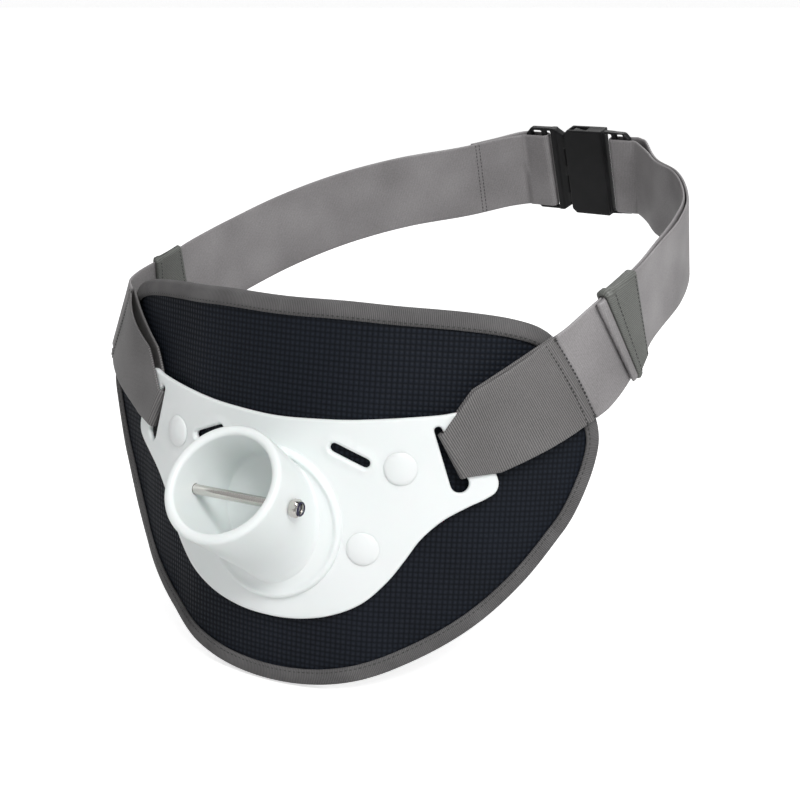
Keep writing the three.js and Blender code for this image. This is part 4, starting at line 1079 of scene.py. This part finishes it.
# %% [markdown]
# ## Keepers
# A keeper is a short sleeve of tape sewn round the strap near each corner, which holds the
# strap's free end. Its section is a flat loop with round corners. On the right it has a doubled
# hem on the side of the pad, a thick ridge that casts a shadow on the strap.

# %% Sleeves round the strap
def sleeve_path(low, high, tall, radius=1.1, steps=5, straight=14):
    """The sleeve's section round the strap: (away, up) pairs and their outward directions."""
    loop = []
    right, left, top = high - radius, low + radius, tall - radius
    for x, y, start in ((right, top, 0), (left, top, 90), (left, -top, 180), (right, -top, 270)):
        centre = np.array([x, y])
        for angle in np.radians(np.linspace(start, start + 90, steps + 1)):
            turn = np.array([math.cos(angle), math.sin(angle)])
            loop.append((centre + radius * turn, turn))
        if start in (90, 270):
            last, turn = loop[-1]
            run = np.linspace(last[1], -last[1], straight)[1:-1]
            loop += [(np.array([last[0], y]), turn) for y in run]
    return loop


def keeper_wall(marks, hem):
    """The wall's thickness along the strap: rounded ends, and a hem doubled towards the pad."""
    walls = []
    for mark, share in zip(marks, np.linspace(0, 1, len(marks))):
        end = max((abs(share - 0.5) - 0.47) / 0.03, 0)
        plain = KEEPER["wall"] * math.sqrt(max(1 - end ** 2, 0.2))
        doubled = float(smooth((4.6 - (mark - marks[0])) / 0.8)) * min(1.0, 0.4 + (mark - marks[0]))
        walls.append(plain + hem * doubled)
    return walls


def build_keeper(name, side, count=25):
    outer = WEB["thick"] + WEB["gap"] if side > 0 else 0.0
    low, high = -(WEB["thick"] / 2 + CLEAR), outer + WEB["thick"] / 2 + CLEAR
    marks = np.linspace(KEEPER["start"], KEEPER["start"] + KEEPER["long"], count)
    walls = keeper_wall(marks, KEEPER["hem"][side])
    frames = [BELT[side].at(mark) for mark in marks]

    def skin(spot, turn, grows):
        """One line along the sleeve, this far out from its inner face."""
        spots = [spot + turn * grow for grow in grows]
        return [middle + away * x + up * y for (x, y), (middle, up, away) in zip(spots, frames)]

    path = sleeve_path(low, high, WEB["wide"] / 2 + 2 * CLEAR)
    sections = np.array([skin(*at, [0.0] * count) + skin(*at, walls)[::-1] for at in path])
    around = running_length(np.vstack([sections[:, 30], sections[:1, 30]]))
    across = np.concatenate([marks, marks[::-1]])[None].repeat(len(sections), 0)
    return lofted(name, sections, around, across, ring=True)


for side, hand in SIDES:
    keeper = build_keeper(f"keeper_sleeve_{hand}", side)
    dress(keeper, KEEPER_TAPE, "keeper_tape", f"keeper_{hand}")

# %% [markdown]
# ## Rows of stitches on the webbing
# The corner seams have two dark rows that bulge a little outwards, with tight tacks at both
# ends. The keepers and the sewn tail near the buckle have rows of their own. All of them use the
# stitching tree.

# %% Stitches at the seams, the keepers and the sewn tail
def seam_rows(side, bulge=1.1, from_middle=2.9):
    """Two rows up the corner, bowed away from the plate."""
    centre, up, onward = seam_frame(side)
    t = np.linspace(-1, 1, 40)
    rows = []
    for row in (-from_middle, from_middle):
        reach = row + bulge * (1 - t ** 2)
        flat = centre + np.outer(reach, onward) + np.outer(t * (WEB["wide"] / 2 - 1.6), up)
        share = np.clip(1 + (reach - SEAM_REACH / 2) / WING_LAST, 0, 1)
        rows.append(row_on_body(flat, wing_front(share) + WEB["thick"] / 2 + 0.1))
    return rows


def tack_rows(side, half=3.4):
    """Tight tacks along the strap at both ends of the seam."""
    centre, up, onward = seam_frame(side)
    along = centre + np.outer(np.linspace(-half, half, 12), onward)
    rows = []
    for end in (-1, 1):
        for from_edge in (1.2, 2.2):
            flat = along + up * end * (WEB["wide"] / 2 - from_edge)
            rows.append(row_on_body(flat, WING_FRONT + WEB["thick"] / 2 + 0.35))
    return rows


def strap_rows(side, distances, offset, facing=1, half=23.4):
    """Rows across the strap; facing is 1 for its outer face and -1 for its inner one."""
    rows = []
    for distance in distances:
        middle, up, away = BELT[side].at(distance)
        t = np.linspace(-half, half, 30)[:, None]
        rows.append((middle + away * offset + up * t, np.tile(away * facing, (30, 1))))
    return rows


for side, hand in SIDES:
    sew(f"seam_stitches_{hand}", seam_rows(side), DARK_THREAD, "webbing",
        pitch=2.3, length=1.8, width=1.0, height=0.7)
    sew(f"seam_tacks_{hand}", tack_rows(side), DARK_THREAD, "webbing",
        pitch=1.0, length=1.2, width=0.9, height=0.6)
    inner = WEB["thick"] / 2 + CLEAR + KEEPER["wall"]
    outer = inner + (WEB["thick"] + WEB["gap"] if side > 0 else 0)
    rows = []
    for facing, face in ((1, outer), (-1, inner)):
        for row, hem in zip(KEEPER["rows"], (KEEPER["hem"][side], 0.0)):
            rows += strap_rows(side, [KEEPER["start"] + row], facing * (face + hem + 0.05), facing)
    sew(f"keeper_stitches_{hand}", rows, DARK_THREAD, "keeper_tape",
        pitch=2.4, length=1.8, width=0.6, height=0.5)

tail_rows = [BELT[-1].length - TAIL + reach for reach in (2.5, 5.0, 22.0)]
rows = strap_rows(-1, tail_rows, WEB["thick"] * 1.5 + WEB["gap"] + 0.08)
rows += strap_rows(-1, tail_rows, -WEB["thick"] / 2 - 0.08, facing=-1)
sew("tail_stitches", rows, DARK_THREAD, "webbing", pitch=2.4, length=1.8, width=0.6, height=0.5)

# %% [markdown]
# ## The moulded plate
# The plate is a sheet of even thickness with soft edges, two vents with raised lips and two
# slots for the straps. Booleans and bevels would tangle on its bent face, so its outline, its
# holes and a few loops beside them are triangulated flat. Each point is then lifted by a height
# that depends only on how far it is from an edge, and laid on the body curve.

# %% Outlines of the slots and vents
VENT = {"at": (0.358, 0.607), "lean": math.radians(20.8), "long": 22.2, "wide": 4.7}


def even_loop(points, spacing, clockwise):
    """A closed polygon cut at even distances, in the wanted direction."""
    points = np.asarray(points)
    onward = np.roll(points, -1, 0)
    area = np.sum(points[:, 0] * onward[:, 1] - points[:, 1] * onward[:, 0])
    if (area < 0) != clockwise:
        points = points[::-1]
    closed = np.vstack([points, points[:1]])
    reached = running_length(closed)
    return evenly(closed, reached, max(int(reached[-1] / spacing), 24))


def arc(centre, radius, start, stop, steps=14):
    angles = np.linspace(start, stop, steps)
    return [centre + radius * np.array([math.cos(a), math.sin(a)]) for a in angles]


def strap_slot(side):
    top, bottom, heading, taper = slot_ends()
    outwards, inwards = heading + math.pi / 2 + taper, heading - math.pi / 2 - taper
    loop = arc(top, SLOT["top_radius"], outwards, inwards + 2 * math.pi)
    loop += arc(bottom, SLOT["bottom_radius"], inwards, outwards)
    return np.array(loop) * (side, 1)


def vent(side):
    centre, radius, lean = on_plate(*VENT["at"]), VENT["wide"] / 2, VENT["lean"]
    shift = np.array([math.cos(lean), -math.sin(lean)]) * (VENT["long"] - VENT["wide"]) / 2
    loop = arc(centre + shift, radius, -math.pi / 2 - lean, math.pi / 2 - lean)
    loop += arc(centre - shift, radius, math.pi / 2 - lean, 3 * math.pi / 2 - lean)
    return np.array(loop) * (side, 1)


vents = [even_loop(vent(side), 1.0, False) for side in (1, -1)]
slots = [even_loop(strap_slot(side), 1.0, False) for side in (1, -1)]
rim = even_loop(outline(PLATE_OUTLINE, PLATE, 900), 1.25, True)
print("plate edge:", len(rim), "points; openings:", [len(loop) for loop in vents + slots])

# %% [markdown]
# ## Lifting the flat sheet
# The edges roll over in a quarter round, the vents get their lips, and the flange under the cup
# is a low round disc with a rounded rim and a slightly sunk ring.

# %% The plate as a soft edged sheet
EDGE_ROUND = 1.3
EDGE_LOOPS = (0.0, 0.1, 0.35, 0.75, 1.3, 2.1)
LIP = {"rise": 0.75, "at": 1.7, "wide": 1.1}
FLANGE = {"radius": 40.3, "round": 2.0, "rise": 3.0, "sunk": 1.5, "ring": 37.6, "slope": 1.6}
FLANGE_LOOPS = (41.6, 40.6, 40.31, 40.28, 40.1, 39.8, 39.4, 38.9, 38.2, 37.4, 36.6, 35.2, 33)


def rolled(distance):
    """How far the face falls near an edge."""
    t = np.clip(1 - distance / EDGE_ROUND, 0, 1)
    return EDGE_ROUND * (1 - np.sqrt(1 - t * t))


def flange_height(flat):
    """The flange stands on the sheet round the cup."""
    radius = np.linalg.norm(flat, axis=1)
    past = np.clip(1 - (FLANGE["radius"] - radius) / FLANGE["round"], 0, 1)
    rise = np.sqrt(1 - past ** 2) * (radius < FLANGE["radius"])
    return rise * (FLANGE["rise"] - FLANGE["sunk"] * smooth((FLANGE["ring"] - radius) / FLANGE["slope"]))


def sheet_points(loops):
    """Flat points in the openings' and the rim's loops, the flange's rings and a loose grid."""
    points, edges = [], []
    for loop in loops:
        start = len(points)
        edges += [(start + i, start + (i + 1) % len(loop)) for i in range(len(loop))]
        for depth in EDGE_LOOPS:
            points += inset(loop, depth).tolist()
    circle = np.stack([np.cos(ring_angles(150)), np.sin(ring_angles(150))], -1)
    for radius in FLANGE_LOOPS:
        points += (radius * circle).tolist()
    rows, columns = np.arange(-50, 66, 2.4), np.arange(-117, 118, 2.8)
    grid = np.array([(x + (row % 2) * 1.4, y) for row, y in enumerate(rows) for x in columns])
    near = np.min([distance_to(grid, loop) for loop in loops], axis=0)
    radius = np.linalg.norm(grid, axis=1)
    free = (near > 2.9) & inside(grid, rim) & ((radius < 31) | (radius > 43))
    return points + grid[free].tolist(), edges


# %% [markdown]
# ## Triangulating the sheet
# The flat points are joined into triangles, those in the openings are dropped, and the same
# triangles serve the front and the back. The open edges are then closed by a wall.

# %% The moulded plate
def build_plate():
    loops = [rim, *vents, *slots]
    points, edges = sheet_points(loops)
    made = delaunay_2d_cdt([Vector(q) for q in points], edges, [], 0, 1e-5)
    flat = np.array([tuple(v) for v in made[0]])
    tris = np.array([f for f in made[2] if len(f) == 3])
    middles = flat[tris].mean(1)
    open_at = np.any([inside(middles, loop) for loop in vents + slots], axis=0)
    tris = tris[inside(middles, rim) & ~open_at]
    depth = np.min([distance_to(flat, loop) for loop in loops], axis=0)
    from_vent = np.min([distance_to(flat, loop) for loop in vents], axis=0)
    lip = LIP["rise"] * np.exp(-((from_vent - LIP["at"]) / LIP["wide"]) ** 2)
    front = lay(flat, lip + flange_height(flat) - rolled(depth))
    back = lay(flat, rolled(depth) - PLATE["thick"])
    count = len(flat)
    faces = [tuple(t) for t in tris] + [tuple(t[::-1] + count) for t in tris]
    borders = {}
    for a, b, c in tris:
        for edge in ((a, b), (b, c), (c, a)):
            if borders.pop(edge[::-1], None) is None:
                borders[edge] = True
    faces += [(b, a, a + count, b + count) for a, b in borders]
    return new_piece("moulded_plate", np.vstack([front, back]), faces)


plate = build_plate()
dress(plate, WHITE_PLASTIC, "white_plastic", "gimbal_plate")

# %% [markdown]
# ## The gimbal cup
# The cup is a short tube that leans up from the flange. Its foot is an ellipse on the plate and
# its mouth a circle across the tube, so a plain cylinder won't do: each line of the wall runs
# from a point of the foot to a point of the mouth, over a rounded lip and down to the flat
# floor.

# %% The cup as a run of rings
CUP = {"tilt": math.radians(42.8), "long": 56.0, "outer": 30.8, "inner": 25.6, "lip": 2.3, "pin": 17.8,
       "foot": (27.8, 34.2, 2.6), "floor": (22.9, 28.0, 7.6)}
cup_axis = np.array([0, -math.cos(CUP["tilt"]), math.sin(CUP["tilt"])])
cup_over = np.array([0, math.sin(CUP["tilt"]), math.cos(CUP["tilt"])])
cup_rim = np.array([0, 0, -3.0]) + cup_axis * CUP["long"]
pin_middle = cup_rim - cup_axis * CUP["pin"]


def cup_rings(segments=144):
    """The rings from the foot's edge up the wall, over the lip and down to the floor."""
    angles = ring_angles(segments)
    c, s = np.cos(angles), np.sin(angles)
    sideways, normal, upward = np.array([1.0, 0, 0]), place(0.0, 0.0, 1.0), place(0.0, 1.0, 0.0)
    outer, inner, lip = CUP["outer"], CUP["inner"], CUP["lip"]

    def mouth(radius, height):
        return cup_rim + cup_axis * height + radius * (c[:, None] * sideways + s[:, None] * cup_over)

    def foot(grow):
        wide, tall, middle = CUP["foot"]
        return place((wide + grow) * c, middle + (tall + grow) * s, np.full(segments, 0.6))

    def floor(share, out):
        wide, tall, middle = CUP["floor"]
        across, along = wide * share * c, middle + tall * share * s
        return across[:, None] * sideways + along[:, None] * upward + out * normal

    rings = []
    for h in [*np.linspace(0, 0.12, 8), *np.linspace(0.16, 0.97, 26)]:
        ring = lerp(foot(1.6 * max(1 - h / 0.1, 0) ** 2), mouth(outer, -lip), h)
        ring[:, 0] *= lerp(CUP["foot"][0], outer, smooth(h / 0.62)) / lerp(CUP["foot"][0], outer, h)
        rings.append(ring)
    for angle in np.linspace(0, math.pi / 2, 7):
        rings.append(mouth(outer - lip * (1 - math.cos(angle)), lip * (math.sin(angle) - 1)))
    for angle in np.linspace(math.pi / 2, math.pi, 7):
        rings.append(mouth(inner + lip * (1 + math.cos(angle)), lip * (math.sin(angle) - 1)))
    for h in np.linspace(0.03, 0.975, 26):
        rings.append(lerp(mouth(inner, -lip), floor(1.0, 5.0), h))
    flat = ((0.985, 4.75), (0.95, 4.62), (0.8, 4.6), (0.5, 4.6), (0.2, 4.6))
    rings += [floor(share, out) for share, out in flat]
    return rings, foot(0.0).mean(0) - place(0.0, 0.0, 1.6), floor(0.0, 4.6).mean(0)


rings, under, centre = cup_rings()
cup = between_poles("gimbal_cup", under, rings, centre)
print("cup:", len(rings), "rings of", len(rings[0]), "points")

# %% [markdown]
# ## The pin's holes
# The pin crosses both walls, so one long drill cuts both holes in a single boolean. Edges that
# turn sharply are then marked sharp, or the shading would smear round the holes.

# %% Drilling both walls
def pin_holes(cup, radius=2.75):
    """Cuts both pin holes through the cup's walls."""
    shape = bmesh.new()
    size = {"radius1": radius / 1000, "radius2": radius / 1000, "depth": 0.09}
    bmesh.ops.create_cone(shape, cap_ends=True, segments=48, **size)
    shape.transform(Matrix.Translation(to_frame(pin_middle)) @ Matrix.Rotation(math.pi / 2, 4, "Y"))
    mesh = bpy.data.meshes.new("drill")
    shape.to_mesh(mesh)
    shape.free()
    drill = in_scene("drill", mesh)
    cut = cup.modifiers.new("holes", "BOOLEAN")
    cut.operation, cut.solver, cut.object = "DIFFERENCE", "EXACT", drill
    bored = finished_mesh(cup)
    cup.modifiers.remove(cut)
    bpy.data.objects.remove(drill)
    cup.data = bored
    bored.shade_smooth()
    sharp = bmesh.new()
    sharp.from_mesh(bored)
    for edge in sharp.edges:
        edge.smooth = not (len(edge.link_faces) == 2 and edge.calc_face_angle() > math.radians(50))
    sharp.to_mesh(bored)
    sharp.free()


pin_holes(cup)
dress(cup, WHITE_PLASTIC, "white_plastic", "gimbal_plate")

# %% [markdown]
# ## Rivet caps
# Four shallow domes cover the rivets. A dome is turned about the normal of the body curve, so
# its rim lies on the bent plate all the way round.

# %% Turned pieces on the body curve
def turned_on_body(name, aside, level, profile, segments=48):
    """profile holds (radius, out) pairs from the top pole to the bottom pole."""
    circle = np.stack([np.cos(ring_angles(segments)), np.sin(ring_angles(segments))], -1)
    middle = np.array([aside, level])
    top, *rings, bottom = [lay(middle + radius * circle, out) for radius, out in profile]
    return between_poles(name, top[0], rings, bottom[0])


def dome_profile(radius=8.5, height=2.2, shank=2.2):
    shares = np.sin(np.linspace(0.12, math.pi / 2, 12))
    dome = [(radius * s, CLEAR + height * math.sqrt(max(1 - s * s, 0)) ** 1.15) for s in shares]
    seat = PAD_FRONT + CLEAR
    under = [(radius - 0.3, CLEAR), (shank, CLEAR), (shank, seat)]
    return [(0, CLEAR + height), *dome, *under, (0, seat)]


RIVETS = {"upper": (0.579, 0.543), "lower": (0.437, -0.145)}
for side, hand in SIDES:
    for row, shares in RIVETS.items():
        aside, level = on_plate(*shares) * (side, 1)
        cap = turned_on_body(f"rivet_dome_{row}_{hand}", aside, level, dome_profile())
        dress(cap, WHITE_PLASTIC, "white_plastic", f"rivet_cap_{row}_{hand}")

# %% [markdown]
# ## Pin and nut
# The steel pin crosses the cup, with a head on one side and a lock nut on the other. They are
# turned and milled parts, so they get crisp small chamfers, and the pin ends inside the nut's
# plastic ring. A hexagon is drawn as a ring whose radius changes with the angle, cut by the
# chamfer's cone at both ends.

# %% Turned and milled pieces along X
PIN = {"radius": 2.5, "head": 4.4, "head_tall": 3.0, "short": 1.8}
NUT = {"flats": 8.0, "corner": 4.62, "tall": 4.2, "bore": 2.8, "ring": 0.9}


def along_x(name, profile, segments=72, hexagon=False, ring=False):
    """profile holds (x, radius) pairs; ring joins the last pair to the first for a bored piece."""
    angles = ring_angles(segments)
    to_flat = NUT["flats"] / 2 / np.cos(np.mod(angles, math.pi / 3) - math.pi / 6)
    sections = []
    for x, radius in profile:
        r = np.full(segments, radius, float)
        if hexagon and radius > NUT["bore"]:
            r = np.minimum(r, to_flat)
        circle = np.stack([np.full(segments, x), r * np.cos(angles), r * np.sin(angles)], -1)
        sections.append(pin_middle + circle)
    piece = lofted(name, sections, ring=ring)
    bevel = piece.modifiers.new("edge", "BEVEL")
    bevel.width, bevel.segments, bevel.harden_normals = 0.00015, 2, True
    bevel.limit_method, bevel.angle_limit = "ANGLE", math.radians(32)
    return piece


nut_start = CUP["outer"] + CLEAR
ring_start = nut_start + NUT["tall"] + CLEAR
head, tip = -nut_start, ring_start + NUT["ring"] + CLEAR - PIN["short"]
wide, top = PIN["head"], head - PIN["head_tall"]
pin = along_x("steel_pin", [
    (top, wide - 0.7), (top + 0.3, wide - 0.15), (top + 0.7, wide), (head, wide),
    (head, PIN["radius"]), (tip - 0.3, PIN["radius"]), (tip, PIN["radius"] - 0.3)])
dress(pin, STAINLESS, "stainless", "cross_pin")
bore, corner, end = NUT["bore"], NUT["corner"], nut_start + NUT["tall"]
nut = along_x("nut_body", [
    (nut_start, bore), (nut_start, 4.1), (nut_start + 0.45, corner), (end - 0.8, corner),
    (end, 3.9), (end, bore)], segments=96, hexagon=True, ring=True)
dress(nut, STAINLESS, "stainless", "lock_nut")
end = ring_start + NUT["ring"]
insert = along_x("nut_ring", [
    (ring_start, bore), (ring_start, 3.6), (end - 0.4, 3.55), (end, 3.1), (end, bore)], ring=True)
dress(insert, NYLON, "nylon_insert", "lock_nut_insert")

# %% [markdown]
# ## The buckle
# The two halves of the side release buckle are moulded, with soft edges where many small blocks
# meet. Bevels fail on such crossings, so a merged copy of each solid is remeshed into small even
# cells and relaxed, which melts every edge into a small radius. It is melted in the buckle's own
# frame, so that the cells line up with its flat faces.

# %% Both halves of the buckle
def melted(node, name, cell, passes, turn):
    """A copy of a solid, remeshed in even cells (mm) and relaxed so that its edges go soft."""
    shape = bmesh.new()
    shape.from_mesh(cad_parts[node].data)
    bmesh.ops.remove_doubles(shape, verts=shape.verts[:], dist=1e-6)
    mesh = bpy.data.meshes.new(name)
    shape.transform(turn.inverted())
    shape.to_mesh(mesh)
    shape.free()
    raw = in_scene(name + "_raw", mesh)
    cells = raw.modifiers.new("cells", "REMESH")
    cells.mode, cells.voxel_size = "VOXEL", cell / 1000
    relax = raw.modifiers.new("relax", "SMOOTH")
    relax.factor, relax.iterations = 0.5, passes
    made = finished_mesh(raw)
    made.transform(turn)
    made.shade_smooth()
    made.name = name
    bpy.data.objects.remove(raw)
    return in_scene(name, made)


CELL, PASSES = 0.45, 9
buckle_frame = axes_at(buckle_centre, buckle_along, buckle_up, buckle_in)
for half in ("male", "female"):
    piece = melted(f"buckle_{half}", f"moulded_buckle_{half}", CELL, PASSES, buckle_frame)
    dress(piece, BLACK_PLASTIC, "black_plastic", f"buckle_{half}")

# %% [markdown]
# ## Floor and light
# The belt stands on a plain pale floor in soft light. A soft light above on the right of the
# camera makes the plate's face and the cup's left wall bright and leaves the cup's underside
# grey, and the pale surroundings do the rest.

# %% Studio
LAMPS = (("key", (0.75, -0.72, 0.92), 0.55, 13), ("back", (-0.3, 1.2, 1.5), 0.9, 6))


def shown_and_given(nodes, links, socket, shown, given):
    """A strength that the picture sees, and a weaker one that lights the belt."""
    path = nodes.new("ShaderNodeLightPath")
    mix = nodes.new("ShaderNodeMapRange")
    mix.inputs["To Min"].default_value, mix.inputs["To Max"].default_value = given, shown
    links.new(path.outputs["Is Camera Ray"], mix.inputs["Value"])
    links.new(mix.outputs[0], socket)


def studio(reach=300, rise=12, around=24):
    """A round floor with a low wall far away, the pale surroundings and two soft lamps."""
    level = min(c[2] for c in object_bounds()) - 0.0005
    ring = [(reach * math.cos(a), reach * math.sin(a)) for a in ring_angles(around)]
    points = [(x, y, z) for z in (level, level + rise) for x, y in ring]
    walls = [(i, around + i, around + (i + 1) % around, (i + 1) % around) for i in range(around)]
    mesh = bpy.data.meshes.new("studio_floor")
    mesh.from_pydata(points, [], [tuple(range(around)), *walls])
    pale = Finish("pale_floor", roughness=0.9, specular=0.0, **{"Emission Color": (1, 1, 1, 1)})
    pale.colour(pale.noise(3, 2), (0.3, (0.885, 0.885, 0.885)), (0.7, (0.9, 0.9, 0.9)))
    shown_and_given(pale.nodes, pale.links, pale.shader.inputs["Emission Strength"], 0.62, 0.0)
    mesh.materials.append(pale.material)
    in_scene("studio_floor", mesh)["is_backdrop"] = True
    world = bpy.data.worlds.new("pale_surroundings")
    world.use_nodes = True
    tree = world.node_tree
    inputs = tree.nodes["Background"].inputs
    inputs["Color"].default_value = (1, 1, 1, 1)
    shown_and_given(tree.nodes, tree.links, inputs["Strength"], 1.1, 0.44)
    bpy.context.scene.world = world
    for name, spot, size, power in LAMPS:
        light = bpy.data.lights.new(name, "AREA")
        light.size, light.energy = size, power
        lamp = in_scene(name, light)
        lamp.location = spot
        lamp.rotation_euler = (-Vector(spot)).to_track_quat("-Z", "Y").to_euler()


studio()

# %% [markdown]
# ## The camera
# Its place and lens come from a fit of the plate, the cup and the corners to points measured in
# the photo, so the render can be laid over it. Colours are shown as they are, without a film look.

# %% Camera
VIEW = {"lens": 57.33, "sensor": 36.0, "aside": 66.78, "up": 61.61, "back": 650.02}


def camera():
    right = np.array([0.8965, 0.4431, 0.0])
    up = np.array([-0.1309, 0.2649, 0.9553])
    back = np.array([0.4232, -0.8565, 0.2955])
    eye = in_scene("camera", bpy.data.cameras.new("camera"))
    eye.data.sensor_width, eye.data.lens = VIEW["sensor"], VIEW["lens"]
    spot = VIEW["aside"] * right + VIEW["up"] * up + VIEW["back"] * back
    eye.matrix_world = axes_at(spot, right, up, back)
    bpy.context.scene.camera = eye
    print("camera at", to_frame(spot).round(3))


camera()
bpy.context.scene.view_settings.view_transform = "Standard"
